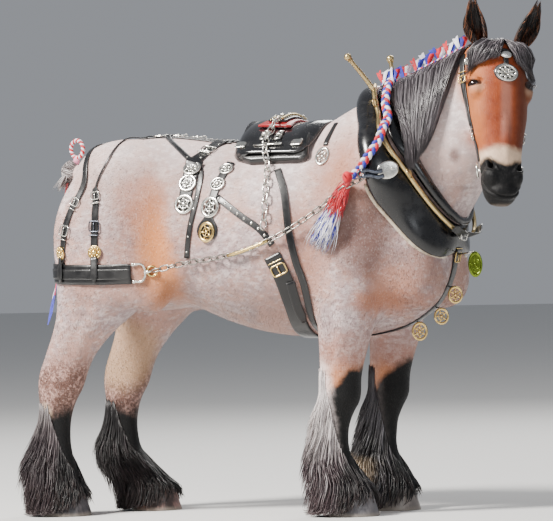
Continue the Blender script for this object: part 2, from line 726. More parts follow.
class Cover:
    # the surfaces laid so far, for the next piece to lie on
    def __init__(self, *pieces):
        self.points, self.faces, self.tree = [], [], None
        self.add(*pieces)

    def add(self, *pieces):
        for piece in pieces:
            start = len(self.points)
            piece.data.calc_loop_triangles()
            self.points += [v.co.copy() for v in piece.data.vertices]
            self.faces += [tuple(start + i for i in t.vertices) for t in piece.data.loop_triangles]
        self.tree = BVHTree.FromPolygons(self.points, self.faces)
        return self

    def height(self, point, way, reach):
        # how far the outermost surface lies beyond this point, along the way out
        hit = self.tree.ray_cast(point + way * reach, -way, 2 * reach)
        return reach - hit[3] if hit[0] is not None else None


def legAt(kind, side, z):
    rows = legRows(kind, side)[::-1]
    heights = [row[0].z for row in rows]
    table = ([r[0].x for r in rows], [r[0].y for r in rows], [r[1] for r in rows], [r[2] for r in rows])
    return [np.interp(z, heights, values) for values in table]


skin = makeSkin()
cover = Cover(skin)
bare = Cover(skin)


# Colours, read as 0 to 255 on the screen


def screen(*levels):
    return tuple(((v / 255 + 0.055) / 1.055) ** 2.4 if v > 10 else v / 255 / 12.92 for v in levels)


coat = {
    "pink": screen(178, 140, 128),
    "pale": screen(240, 226, 224),
    "lilac": screen(156, 134, 134),
    "rust": screen(158, 96, 64),
    "orange": screen(206, 130, 74),
    "bayDark": screen(70, 36, 26),
    "shade": screen(104, 76, 70),
    "bay": screen(122, 50, 22),
    "bayLight": screen(176, 86, 42),
    "noseLine": screen(160, 112, 98),
    "cream": screen(224, 196, 168),
    "tan": screen(172, 140, 110),
    "brown": screen(88, 58, 48),
    "black": screen(6, 6, 7),
    "grey": screen(138, 126, 122),
    "rough": 0.52,
    "flecks": 240,
    # heights from where a colour starts to where it is full
    "heights": {
        "top": (1.05, 1.44), "belly": (0.98, 0.72),
        "foreRust": (0.80, 0.54), "foreWarm": (0.60, 0.53), "foreBlack": (0.515, 0.465),
        "silver": (0.64, 0.52), "hindBrown": (0.66, 0.54), "hindBlack": (0.45, 0.37),
    },
    # the same, down the face
    "downs": {
        "jaw": (0.30, 0.37), "noseLine": (0.12, 0.20), "noseEnd": (0.44, 0.34), "farSide": (0.06, 0.14),
        "cream": (0.400, 0.440), "muzzle": (0.482, 0.508), "chin": (0.50, 0.52),
    },
    # single marks: centre, radii, softness
    "neckSpot": ((1.068, -0.16, 1.360), (0.020, 0.07, 0.026), 0.6),
    "hockTan": ((-0.50, 0.135, 0.63), (0.16, 0.085, 0.145), 0.35),
    "shinStreak": ((-0.655, -0.26, 0.405), (0.030, 0.03, 0.035), 0.5),
    # centre, radii, softness, strength, colour; on both sides alike
    "patches": [
        ((0.060, -0.30, 1.34), (0.160, 0.25, 0.08), 0.95, 0.35, "brown"),
        ((0.800, -0.36, 1.10), (0.070, 0.22, 0.16), 0.8, 0.35, "brown"),
        ((-0.175, -0.32, 1.12), (0.150, 0.22, 0.22), 0.95, 0.55, "brown"),
        ((-0.125, -0.32, 1.06), (0.055, 0.20, 0.19), 0.95, 0.95, "orange"),
        ((-0.185, -0.28, 1.22), (0.090, 0.20, 0.12), 0.9, 0.55, "rust"),
        ((-0.085, -0.32, 0.91), (0.050, 0.20, 0.10), 0.8, 0.65, "orange"),
        ((-0.065, -0.30, 0.86), (0.090, 0.20, 0.05), 0.8, 0.35, "brown"),
        ((-0.290, -0.25, 1.29), (0.170, 0.22, 0.13), 0.9, 0.30, "brown"),
        ((0.640, -0.25, 1.34), (0.110, 0.22, 0.12), 0.9, 0.75, "rust"),
        ((0.660, -0.30, 1.24), (0.070, 0.20, 0.10), 0.9, 0.40, "rust"),
        ((0.740, -0.33, 1.07), (0.110, 0.22, 0.13), 0.6, 0.70, "brown"),
        ((0.715, -0.33, 1.06), (0.080, 0.22, 0.13), 0.8, 0.85, "shade"),
        ((0.820, -0.30, 0.98), (0.100, 0.22, 0.06), 0.9, 0.45, "brown"),
        ((0.500, -0.30, 1.00), (0.070, 0.20, 0.14), 0.9, 0.40, "rust"),
        ((0.820, -0.26, 0.81), (0.120, 0.22, 0.05), 0.7, 0.75, "rust"),
        ((0.980, -0.15, 0.89), (0.110, 0.18, 0.16), 0.9, 0.30, "brown"),
        ((0.850, -0.30, 0.88), (0.080, 0.22, 0.05), 0.9, 0.35, "rust"),
        ((-0.450, -0.30, 0.86), (0.110, 0.20, 0.07), 0.9, 0.30, "brown"),
        ((0.250, -0.34, 0.84), (0.160, 0.20, 0.10), 0.9, 0.28, "brown"),
    ],
}


def trunkColour(finish, place, spot, cloud, dapple):
    # roan, paler above and greyer below, with patches
    x, y, z = spot
    heights = coat["heights"]
    paired = finish.add("CombineXYZ", {}, x, finish.size(y) * -1, z)
    wobble = (cloud - 0.5) * 0.9 + (dapple - 0.5) * 0.35
    streaks = finish.noise(place, 44.0, 4.0, 0.7, (0.7, 1.0, 1.3))
    lilac = finish.band(cloud + (dapple - 0.5) * 0.5, 0.36, 0.66)
    colour = finish.mix(lilac, coat["pink"], coat["lilac"])
    pale = finish.band(z + (cloud - 0.5) * 0.3, *heights["top"]) * 0.45
    pale = pale + finish.band(streaks + (cloud - 0.5) * 0.4, 0.46, 0.66) * 0.38
    colour = finish.mix(pale, colour, coat["pale"])
    flecked = finish.band(dapple + (streaks - 0.5) * 0.8, 0.50, 0.72)
    colour = finish.mix(flecked * 0.22, colour, coat["brown"])
    belly = finish.band(z, *heights["belly"]) * finish.band(x, 0.62, 0.45) * finish.band(x, -0.40, -0.10)
    colour = finish.mix(belly * 0.22, colour, coat["grey"])
    for centre, radii, edge, share, name in coat["patches"]:
        patch = finish.spot(paired, centre, radii, edge, wobble)
        colour = finish.mix(patch * share, colour, coat[name])
    return finish.mix(finish.spot(paired, *coat["neckSpot"]) * 0.75, colour, coat["shade"])


def legColour(finish, colour, place, spot, cloud, dapple):
    x, y, z = spot
    heights = coat["heights"]
    right = finish.band(y, 0.02, -0.02)
    isFore = finish.band(x, 0.10, 0.16)
    isHind = 1 - isFore
    # how far a place lies behind the middle of its leg; the left legs stand further forward
    ahead = 1 - right
    middle = isFore * (ahead * 0.030 + 0.592) + isHind * (ahead * 0.100 - 0.610)
    behind = finish.band(x - middle + (dapple - 0.5) * 0.04, 0.020, -0.055)
    level = z + (cloud - 0.5) * 0.10 + (dapple - 0.5) * 0.05
    # fore: rust above the knee, black from the knee down in front, silver behind
    rust = finish.band(level, *heights["foreRust"]) * isFore
    colour = finish.mix(rust * (0.25 + dapple * 0.7), colour, coat["rust"])
    warm = finish.band(level, *heights["foreWarm"]) * isFore
    colour = finish.mix(warm * 0.55, colour, coat["orange"])
    forward = finish.band(x - middle, -0.10, 0.10) * 0.24 - 0.12
    foreBlack = finish.band(level + ahead * -0.025 - forward * 0.65, *heights["foreBlack"]) * isFore
    colour = finish.mix(foreBlack, colour, coat["black"])
    silver = behind * finish.band(level, *heights["silver"]) * isFore * (right * 0.85 + 0.15)
    colour = finish.mix(silver * 0.9, colour, coat["pale"])
    # hind: brown, mottled hock, black below, tan inside the left one, a cream streak on the right one
    brown = finish.band(level, *heights["hindBrown"]) * isHind
    grain = finish.noise(place, 90.0, 3.0, 0.65)
    mottle = finish.band(grain + dapple * 0.6, 0.72, 1.00)
    colour = finish.mix(brown * 0.9, colour, finish.mix(mottle, coat["brown"], coat["pink"]))
    colour = finish.mix(finish.spot(place, *coat["hockTan"]) * 0.85, colour, coat["tan"])
    hindBlack = finish.band(level, *heights["hindBlack"]) * isHind
    colour = finish.mix(hindBlack, colour, coat["black"])
    colour = finish.mix(finish.spot(place, *coat["shinStreak"]) * 0.85, colour, coat["cream"])
    return colour, (foreBlack, hindBlack)


def headColour(finish, colour, place, spot, cloud, dapple):
    # bay face, roan cheeks, a pale line down the nose, cream band, black muzzle
    x, _, z = spot
    downs = coat["downs"]
    near = finish.add("VectorMath", {"operation": "SUBTRACT"}, place, tuple(head["poll"]))
    left, down, out = (
        finish.add("VectorMath", {"operation": "DOT_PRODUCT"}, near, tuple(axis), out="Value")
        for axis in headTurn().transposed()
    )
    wide = finish.size(left)
    onHeadMask = finish.band(out, -0.30, -0.255) * finish.band(z, 1.12, 1.18) * finish.band(x, 1.02, 1.10)
    face = finish.band(out + (dapple - 0.5) * 0.03 - down * 0.20, -0.215, -0.140) * onHeadMask
    onNose = finish.band(out, -0.205, -0.150) * onHeadMask
    face = finish.larger(face, finish.band(down, *downs["jaw"]) * onNose)
    light = finish.band(dapple + (cloud - 0.5) * 0.5, 0.20, 0.85) * 0.50 + 0.08
    bay = finish.mix(light, coat["bay"], coat["bayLight"])
    bay = finish.mix(finish.band(wide, 0.055, 0.110) * 0.45, bay, coat["orange"])
    noseLine = finish.band(wide, 0.034, 0.008)
    noseLine = noseLine * finish.band(down, *downs["noseLine"]) * finish.band(down, *downs["noseEnd"])
    bay = finish.mix(noseLine * 0.62, bay, coat["noseLine"])
    farSide = finish.band(left, 0.014, 0.070) * finish.band(down, *downs["farSide"])
    bay = finish.mix(farSide * 0.75, bay, coat["bayDark"])
    colour = finish.mix(face, colour, bay)
    lowEdge = down + (dapple - 0.5) * 0.03
    cream = finish.band(lowEdge - wide * 0.15 + (cloud - 0.5) * 0.05, *downs["cream"]) * onNose
    colour = finish.mix(cream * (0.72 + 0.25 * dapple), colour, coat["cream"])
    folded = finish.add("CombineXYZ", {}, wide, down, out)
    aroundEye = finish.spot(folded, head["eyePatch"], (0.026, 0.022, 0.030), 0.6)
    colour = finish.mix(aroundEye * onHeadMask * 0.62, colour, coat["cream"])
    muzzleEdge = lowEdge + wide * 0.30 - finish.larger(out + 0.02, 0.0) * 0.2
    muzzle = finish.larger(onNose, finish.band(down, *downs["chin"]) * onHeadMask)
    muzzle = finish.band(muzzleEdge, *downs["muzzle"]) * muzzle
    colour = finish.mix(muzzle, colour, coat["black"])
    eyeRim = finish.spot(folded, head["eye"], (0.025, 0.019, 0.034), 0.20)
    colour = finish.mix(eyeRim * onHeadMask * 0.85, colour, coat["black"])
    return colour, muzzle, face


def markings(finish, place):
    # the colour of the coat at a place; skin and tufts both take it from here
    spot = finish.parts(place)
    cloud = finish.noise(place, 5.0, 4.0, 0.55)
    dapple = finish.noise(place, 26.0, 3.0, 0.6)
    fleck = finish.noise(place, coat["flecks"], 2.0, 0.6, (1.0, 1.0, 0.45))
    colour = trunkColour(finish, place, spot, cloud, dapple)
    colour, blacks = legColour(finish, colour, place, spot, cloud, dapple)
    colour, muzzle, face = headColour(finish, colour, place, spot, cloud, dapple)
    light = finish.band(fleck, 0.52, 0.70) * 0.12
    for black in blacks:
        light = light * (1 - black)
    colour = finish.mix(light * (1 - face * 0.85), colour, coat["pale"])
    return colour, fleck, muzzle, face


def coatFinish(name, tufted=False):
    fixed = {"Specular_IOR_Level": 0.22, "Sheen_Weight": 0.05, "Sheen_Roughness": 0.45}
    finish = Finish(name, coat["pink"], coat["rough"], **fixed)
    place = finish.place()
    colour, fleck, muzzle, face = markings(finish, place)
    if tufted:
        shade = finish.stored("shade")
        along = finish.stored("along")
        bright = (shade - 0.5) * 0.26 + along * 0.12 + 0.96
        colour = finish.add("VectorMath", {"operation": "SCALE"}, colour, Scale=bright)
    finish.set("Base Color", colour)
    finish.set("Roughness", finish.band(fleck, 0.2, 0.8) * 0.14 + 0.50 - face * 0.14 + muzzle * 0.04)
    if not tufted:
        hair = finish.noise(place, 420.0, 3.0, 0.7, (1.0, 1.0, 0.22))
        finish.bump(hair + finish.noise(place, 60.0, 3.0) * 0.8, 0.0025, 0.75)
    return finish.material


skinFinish = coatFinish("roan_coat")
skin.data.materials.clear()
skin.data.materials.append(skinFinish)


# Hair as mesh: closed, tapered tufts, each a small patch of the bake map at its root


def turnShare(sideways, ahead):
    # the angle round a line, as 0 to 1
    return np.arctan2(sideways, ahead) / (2 * math.pi) + 0.5


def unwrapAt(points):
    # trunk, neck and head each rolled out round their own length, and each leg round its height
    x, y, z = points.T
    uv = np.zeros((len(points), 2))
    uv[:, 0] = turnShare(y, -(z - 1.10)) * 0.98 + 0.01
    uv[:, 1] = 0.02 + 0.40 * np.clip((x + 0.70) / 1.75, 0, 1)
    local = toHead(points)
    onFace = headShare(points) > 0.5
    onNeck = (x * 0.866 + z * 0.5 > 1.44) & ~onFace & (z > 1.0)
    way = (x - 0.66) * 0.78 + (z - 1.20) * 0.62
    turned = turnShare(y + 0.02, (x - 0.66) * 0.62 - (z - 1.20) * 0.78)
    uv[onNeck, 0] = turned[onNeck] * 0.48 + 0.01
    uv[onNeck, 1] = 0.45 + 0.26 * np.clip(way[onNeck] / 0.75, 0, 1)
    turned = turnShare(local[:, 0], -(local[:, 2] + 0.08))
    uv[onFace, 0] = 0.51 + 0.48 * turned[onFace]
    uv[onFace, 1] = 0.45 + 0.26 * np.clip((local[onFace, 1] + 0.25) / 0.92, 0, 1)
    for k, (kind, side) in enumerate(fourLegs):
        mine = (z < 0.70) & (y * side > 0) & ((x > 0.12) == (kind == "foreleg"))
        middle = legAt(kind, side, z[mine])
        turned = turnShare(y[mine] - middle[1], x[mine] - middle[0])
        uv[mine, 0] = 0.005 + 0.25 * k + 0.24 * turned
        uv[mine, 1] = 0.73 + 0.25 * np.clip(z[mine] / 0.70, 0, 1)
    return uv


def tufts(name, lines, widths, facings, material, draw, deep=0.35):
    # lines run from root to tip; every station but the tip is a flat triangle across the tuft
    count, stations = lines.shape[:2]
    ahead = np.gradient(lines, axis=1)
    across = np.cross(ahead, facings)
    across /= np.linalg.norm(across, axis=2, keepdims=True) + 1e-9
    out = np.cross(across, ahead)
    out /= np.linalg.norm(out, axis=2, keepdims=True) + 1e-9
    half = widths[:, :, None] / 2
    rings = np.stack([lines + across * half, lines + out * half * 2 * deep, lines - across * half], axis=2)
    points = np.concatenate([rings[:, :-1].reshape(count, -1, 3), lines[:, -1:]], axis=1)
    each = points.shape[1]
    spots = [(3 * i + k, 3 * i + (k + 1) % 3) for i in range(stations - 2) for k in range(3)]
    quads = [(a, b, b + 3, a + 3) for a, b in spots]
    last = 3 * (stations - 2)
    triangles = [(last + k, last + (k + 1) % 3, each - 1) for k in range(3)] + [(2, 1, 0)]
    start = np.arange(count)[:, None] * each
    loops = [start + np.array(faces).ravel() for faces in (quads, triangles) if faces]
    corners = np.concatenate(loops, axis=1).ravel()
    totals = np.tile([4] * len(quads) + [3] * len(triangles), count)
    mesh = bpy.data.meshes.new(name)
    mesh.vertices.add(count * each)
    mesh.vertices.foreach_set("co", points.astype(np.float32).ravel())
    mesh.loops.add(len(corners))
    mesh.loops.foreach_set("vertex_index", corners.astype(np.int32))
    mesh.polygons.add(len(totals))
    mesh.polygons.foreach_set("loop_start", np.concatenate([[0], np.cumsum(totals)[:-1]]).astype(np.int32))
    mesh.polygons.foreach_set("loop_total", totals.astype(np.int32))
    mesh.update(calc_edges=True)
    uv = unwrapAt(lines[:, 0])
    step = np.zeros((each, 2))
    for j in range(each):
        step[j] = ((j % 3) / 2 - 0.5, (j // 3) / (stations - 1) - 0.5)
    step[-1] = (0.0, 0.5)
    places = (uv[:, None, :] + step[None] * 0.003).reshape(-1, 2)
    layer = mesh.uv_layers.new(name="OFBake")
    layer.uv.foreach_set("vector", places[corners].astype(np.float32).ravel())
    shades = draw.random(count)
    station = np.minimum(np.arange(each) // 3, stations - 1) / (stations - 1)
    station[-1] = 1.0
    store(mesh, "shade", np.repeat(shades, each))
    store(mesh, "along", np.tile(station, count))
    print(name, count, "tufts,", int((totals - 2).sum()), "triangles")
    return newPiece(name, mesh, material)


def taper(count, width, stations, draw):
    # full near the root, drawn out to the tip
    t = np.linspace(0, 1, stations)
    shape = (0.55 + 0.45 * soft(t, 0, 0.3)) * (1 - soft(t, 0.55, 1.05) * 0.85)
    return shape[None, :] * width * draw.uniform(0.7, 1.3, (count, 1))


shortCoat = {
    "length": 0.017,
    "width": 0.0034,
    "deep": 0.16,
    "lift": 0.07,
    "sink": 0.0015,
    "stray": 0.14,
    # seed, tufts, and their length and width as shares of those above
    "body": (21, 47000, 1.0, 1.0),
    "legs": (22, 34000, 0.85, 0.85),
    "head": (23, 26000, 0.42, 0.50),
    # the tufts start this far from the middle of an eye
    "eyeClear": 0.042,
}


def lieAt(points):
    # which way the coat lies: back and down on the body, down on the legs, down the face
    x, _, z = points.T
    trunk = np.array([-0.80, 0.0, -0.45])[None] + np.zeros((len(points), 3))
    front = soft(x, 0.72, 0.95)[:, None]
    way = trunk * (1 - front) + np.array([-0.25, 0.0, -0.95]) * front
    onLeg = soft(z, 0.90, 0.70)[:, None]
    way = way * (1 - onLeg) + np.array([-0.12, 0.0, -1.0]) * onLeg
    onHeadPart = headShare(points)[:, None]
    return way * (1 - onHeadPart) + np.array(head["lean"].normalized()) * onHeadPart


def scatter(piece, count, weight, draw):
    mesh = piece.data
    mesh.calc_loop_triangles()
    corners = np.empty(len(mesh.loop_triangles) * 3, np.int32)
    mesh.loop_triangles.foreach_get("vertices", corners)
    corners = corners.reshape(-1, 3)
    points, normals = pointsOf(piece), normalsOf(piece)
    a, b, c = (points[corners[:, k]] for k in range(3))
    area = np.linalg.norm(np.cross(b - a, c - a), axis=1) / 2
    chance = area * weight((a + b + c) / 3)
    chosen = draw.choice(len(area), count, p=chance / chance.sum())
    u, v = draw.random(count), draw.random(count)
    fold = u + v > 1
    u[fold], v[fold] = 1 - u[fold], 1 - v[fold]
    spots = a[chosen] + (b - a)[chosen] * u[:, None] + (c - a)[chosen] * v[:, None]
    return spots, normals[corners[chosen]].mean(axis=1)


def coatPiece(part, weight):
    seed, count, longShare, wideShare = shortCoat[part]
    draw = np.random.default_rng(seed)
    roots, normals = scatter(skin, count, weight, draw)
    normals /= np.linalg.norm(normals, axis=1, keepdims=True)
    way = lieAt(roots) + draw.normal(0, shortCoat["stray"], (count, 3))
    way -= normals * (way * normals).sum(axis=1, keepdims=True)
    way /= np.linalg.norm(way, axis=1, keepdims=True) + 1e-9
    long = np.full(count, shortCoat["length"] * longShare)
    if part == "body":
        # longer under the belly
        long = long * (1 + 0.5 * soft(roots[:, 2], 0.95, 0.72))
    long = long[:, None] * draw.uniform(0.6, 1.25, (count, 1))
    lift = shortCoat["lift"] * draw.uniform(0.3, 1.5, (count, 1))
    start = roots - normals * shortCoat["sink"]
    tip = roots + way * long + normals * long * lift
    lines = np.stack([start, tip], axis=1)
    widths = np.array([[shortCoat["width"] * wideShare, 0.0]]) * draw.uniform(0.7, 1.2, (count, 1))
    facings = np.repeat(normals[:, None], 2, axis=1)
    return tufts("coat_" + part, lines, widths, facings, tuftFinish, draw, shortCoat["deep"])


tuftFinish = coatFinish("roan_tufts", tufted=True)


def makeCoat():
    # no tufts where the mane, the feather and the eyes are
    def bodyPart(p):
        crest = 0.5 + 0.5 * soft(np.abs(p[:, 1]), 0.0, 0.10)
        return (1 - soft(p[:, 2], 0.80, 0.68)) * (headShare(p) < 0.5) * crest

    def legPart(p):
        return soft(p[:, 2], 0.80, 0.68) * (p[:, 2] > 0.095)

    def headPart(p):
        eyes = np.minimum(*(np.linalg.norm(p - np.array(eyeFrame(s)[0]), axis=1) for s in (-1, 1)))
        nose = 1 - 0.9 * soft(toHead(p)[:, 1], 0.47, 0.52)
        return (headShare(p) >= 0.5) * (eyes > shortCoat["eyeClear"]) * nose

    coatPiece("body", bodyPart)
    coatPiece("legs", legPart)
    coatPiece("head", headPart)


makeCoat()


# Mane, forelock and feather


def strandFinish(name, dark, light, streak, share, rough):
    # dark strands with a share of lighter ones, faded towards the tips
    finish = Finish(name, dark, rough)
    shade, along = finish.stored("shade"), finish.stored("along")
    place = finish.place()
    clump = finish.noise(place, 9.0, 3.0)
    colour = finish.mix(finish.band(shade + (clump - 0.5) * 0.9, 0.35, 0.95), dark, light)
    colour = finish.mix(finish.band(shade, 1 - share, 1 - share * 0.6) * 0.9, colour, streak)
    colour = finish.mix(finish.band(along, 0.72, 1.0) * 0.35, colour, light)
    finish.set("Base Color", colour)
    finish.set("Roughness", finish.band(clump, 0.3, 0.7) * 0.14 + (rough - 0.05))
    finish.set("Anisotropic", 0.4)
    return finish.material


mane = {
    "strands": 3600,
    "stations": 9,
    "width": 0.0036,
    "clumps": 130,
    # from the rear edge to the front edge: where it leaves the crest, then down to the tip
    "guides": [
        (0.8, [(0.812, -0.075, 1.64), (0.851, -0.17, 1.535), (0.861, -0.21, 1.405), (0.868, -0.222, 1.285)]),
        (0.865, [(0.872, -0.075, 1.65), (0.896, -0.17, 1.525), (0.9, -0.21, 1.415), (0.9, -0.215, 1.295)]),
        (0.945, [(0.95, -0.07, 1.68), (0.962, -0.165, 1.54), (0.945, -0.205, 1.43), (0.93, -0.212, 1.31)]),
        (1.03, [(1.032, -0.07, 1.705), (1.02, -0.15, 1.59), (0.99, -0.19, 1.475), (0.956, -0.202, 1.35)]),
        (1.125, [(1.105, -0.08, 1.728), (1.056, -0.125, 1.64), (1.028, -0.168, 1.535), (0.978, -0.2, 1.395)]),
    ],
    "rise": (0.006, 0.044),
    "seed": 5,
}


def crestLine():
    rows = smoothRows(body["neck"], body["steps"])
    centres = [Vector(row[:3]) for row in rows]
    return [tuple(c + up * (r[3] - 0.004)) for c, (_, up, _), r in zip(centres, lineFrames(centres), rows)]


def guideGrid(guides, stations):
    return np.array([[tuple(p) for p in evenCount(g, stations)] for g in guides])


def evenCount(guide, count):
    line = evenLine(guide, 0.004)
    return [line[round(t * (len(line) - 1))] for t in np.linspace(0, 1, count)]


def between(grid, shares):
    # lines between the rows of a grid
    places = np.clip(np.asarray(shares), 0, 1) * (len(grid) - 1)
    low = np.minimum(places.astype(int), len(grid) - 2)
    part = (places - low)[:, None, None]
    return grid[low] * (1 - part) + grid[low + 1] * part


def onCover(grid, base, reach=0.15):
    # the grid moved to the outside of all that is laid so far, and the ways out there
    spots, ways = np.zeros_like(grid), np.zeros_like(grid)
    for i, row in enumerate(grid):
        for k, point in enumerate(row):
            place, way, _, _ = base.tree.find_nearest(Vector(point))
            height = cover.height(place, way, reach) or 0.0
            spots[i, k] = place + way * height
            ways[i, k] = way
    return spots, ways


def wavy(count, stations, size, draw):
    # a slow sideways wander that grows from root to tip
    t = np.linspace(0, 1, stations)[None, :, None]
    around = 6.28
    phase = draw.uniform(0, around, (count, 1, 3))
    turns = draw.uniform(0.6, 1.8, (count, 1, 3))
    return np.sin(phase + turns * around * t * 0.7) * size * t


def clumped(lines, clumps, pull, draw):
    # strands draw together towards the middle strand of their clump as they near the tips
    count, stations = lines.shape[:2]
    order = np.linspace(0, clumps, count, endpoint=False).astype(int)
    t = np.linspace(0, 1, stations)[None, :, None] ** 1.4
    for k in range(clumps):
        mine = order == k
        if mine.any():
            heart = lines[mine].mean(axis=0, keepdims=True)
            lines[mine] += (heart - lines[mine]) * t * pull * draw.uniform(0.6, 1.2)
    return lines


def makeMane():
    count, stations = mane["strands"], mane["stations"]
    draw = np.random.default_rng(mane["seed"])
    crest = [Vector(p) for p in crestLine()]
    guides = []
    for start, guide in mane["guides"]:
        top = min(crest, key=lambda p: abs(p.x - start))
        guides.append([(top.x, 0.022, top.z - 0.004), (top.x, 0.0, top.z + 0.004), *guide])
    grid = guideGrid(guides, stations)
    grid = between(grid, np.linspace(0, 1, 25))
    spots, ways = onCover(grid, bare)
    for _ in range(3):
        spots[1:-1] = (spots[:-2] + 2 * spots[1:-1] + spots[2:]) / 4
        spots[:, 1:-1] = (spots[:, :-2] + 2 * spots[:, 1:-1] + spots[:, 2:]) / 4
    shares = np.sort(draw.random(count))
    lines, outs = between(spots, shares), between(ways, shares)
    ends = draw.uniform(0.78, 1.05, count)
    t = np.linspace(0, 1, stations)
    reached = np.minimum(ends[:, None] * t, 1.0)
    lines = np.stack([
        [np.interp(shares, t, line[:, k]) for k in range(3)] for shares, line in zip(reached, lines)
    ]).transpose(0, 2, 1)
    low, high = mane["rise"]
    rise = low + (high - low) * draw.random(count)[:, None] ** 1.3
    rise = rise * np.sin(np.clip(t[None] * 1.6 + 0.15, 0, 1) * math.pi / 2) + 0.010 * (t[None] < 0.35)
    rise[:, 0] = -0.004
    lines += outs * rise[:, :, None]
    lines = clumped(lines, mane["clumps"], 0.62, draw)
    lines += wavy(count, stations, 0.0040, draw)
    widths = taper(count, mane["width"], stations, draw)
    return tufts("mane", lines, widths, outs, maneFinish, draw)


maneTones = screen(52, 48, 51), screen(92, 86, 90), screen(128, 123, 127)
maneFinish = strandFinish("mane_hair", *maneTones, 0.14, 0.32)

forelock = {
    "strands": 1000,
    "stations": 8,
    "width": 0.0038,
    "clumps": 40,
    "seeds": {"right": 31, "left": 32},
    # left, down and out of the face, from the poll to the tips
    "right": [
        [(0.004, -0.045, -0.030), (-0.004, -0.010, 0.016), (-0.018, 0.040, 0.026), (-0.036, 0.095, 0.010)],
        [(-0.020, -0.045, -0.035), (-0.036, -0.008, 0.008), (-0.070, 0.050, 0.004), (-0.098, 0.118, -0.040)],
        [(-0.048, -0.040, -0.045), (-0.074, 0.000, -0.020), (-0.112, 0.062, -0.060), (-0.127, 0.150, -0.085)],
    ],
    "left": [
        [(-0.004, -0.045, -0.030), (0.006, -0.010, 0.016), (0.026, 0.055, 0.026), (0.050, 0.118, 0.010)],
        [(0.022, -0.045, -0.035), (0.044, -0.008, 0.012), (0.082, 0.070, 0.004), (0.112, 0.150, -0.025)],
        [(0.050, -0.040, -0.045), (0.086, 0.000, -0.008), (0.134, 0.070, -0.035), (0.154, 0.180, -0.060)],
    ],
    "rise": (0.006, 0.028),
}


def makeForelock():
    for word, seed in forelock["seeds"].items():
        draw = np.random.default_rng(seed)
        count, stations = forelock["strands"], forelock["stations"]
        guides = [[tuple(onHead(*p)) for p in guide] for guide in forelock[word]]
        grid = between(guideGrid(guides, stations), np.linspace(0, 1, 13))
        spots, ways = onCover(grid, bare)
        shares = np.sort(draw.random(count))
        lines, outs = between(spots, shares), between(ways, shares)
        t = np.linspace(0, 1, stations)
        low, high = forelock["rise"]
        rise = low + (high - low) * draw.random(count)[:, None]
        rise = rise * np.sin(np.clip(t[None] * 1.4, 0, 1) * math.pi / 2) - 0.008 * (t[None] < 0.01)
        shorter = draw.uniform(0.72, 1.08, count)[:, None, None]
        lines = lines[:, :1] + (lines - lines[:, :1]) * shorter
        lines += outs * rise[:, :, None]
        lines = clumped(lines, forelock["clumps"], 0.60, draw)
        lines += wavy(count, stations, 0.004, draw)
        widths = taper(count, forelock["width"], stations, draw)
        tufts("forelock_" + word, lines, widths, outs, maneFinish, draw)


feather = {
    "strands": 3600,
    "stations": 7,
    "width": 0.0046,
    # height, and how far behind the leg's middle the rear edge hangs
    "foreleg": [
        (0.700, 0.100), (0.560, 0.098), (0.470, 0.085), (0.398, 0.117), (0.345, 0.125), (0.291, 0.140),
        (0.238, 0.160), (0.184, 0.192), (0.131, 0.236), (0.077, 0.243), (0.023, 0.215),
    ],
    "hindleg": [
        (0.600, 0.104), (0.500, 0.092), (0.440, 0.075), (0.368, 0.095), (0.300, 0.130), (0.240, 0.168),
        (0.180, 0.205), (0.115, 0.225), (0.066, 0.216), (0.023, 0.190),
    ],
    "top": {"foreleg": 0.560, "hindleg": 0.440},
    # how far round the leg it grows by height, and how long it hangs by that angle
    "spread": [(0.10, 3.14), (0.16, 3.0), (0.24, 2.5), (0.36, 1.7), (0.50, 1.0)],
    "drop": [(0, 0.235), (1.2, 0.210), (2.2, 0.120), (3.0, 0.085)],
    "lowest": 0.120,
    "clumps": 260,
    "clear": 0.007,
    "floor": 0.004,
}


def featherLine(kind, side, angle, z, share):
    # a point this share of the way from the leg's surface to the feather's edge; the angle is 0 at the rear
    x, y, length, width = legAt(kind, side, np.maximum(z, body["hoofHeight"]))
    low = np.clip(1 - z / body["hoofHeight"], 0, 1)
    length, width, x = length + 0.027 * low, width + 0.022 * low, x - 0.006 * low
    edge = np.interp(z, *(np.array(feather[kind][::-1]).T))
    c, s = np.cos(angle), np.sin(angle)
    surface = 1 / np.sqrt((c / length) ** 2 + (s / width) ** 2)
    front = 0.13 + 0.10 * np.clip(1 - z / 0.16, 0, 1)
    fringe = np.maximum(edge - length, 0.004) * np.maximum(front, np.maximum(np.cos(angle / 2), 0) ** 3)
    far = surface + fringe * share
    return np.stack([x - c * far, y + s * far, z], axis=-1)


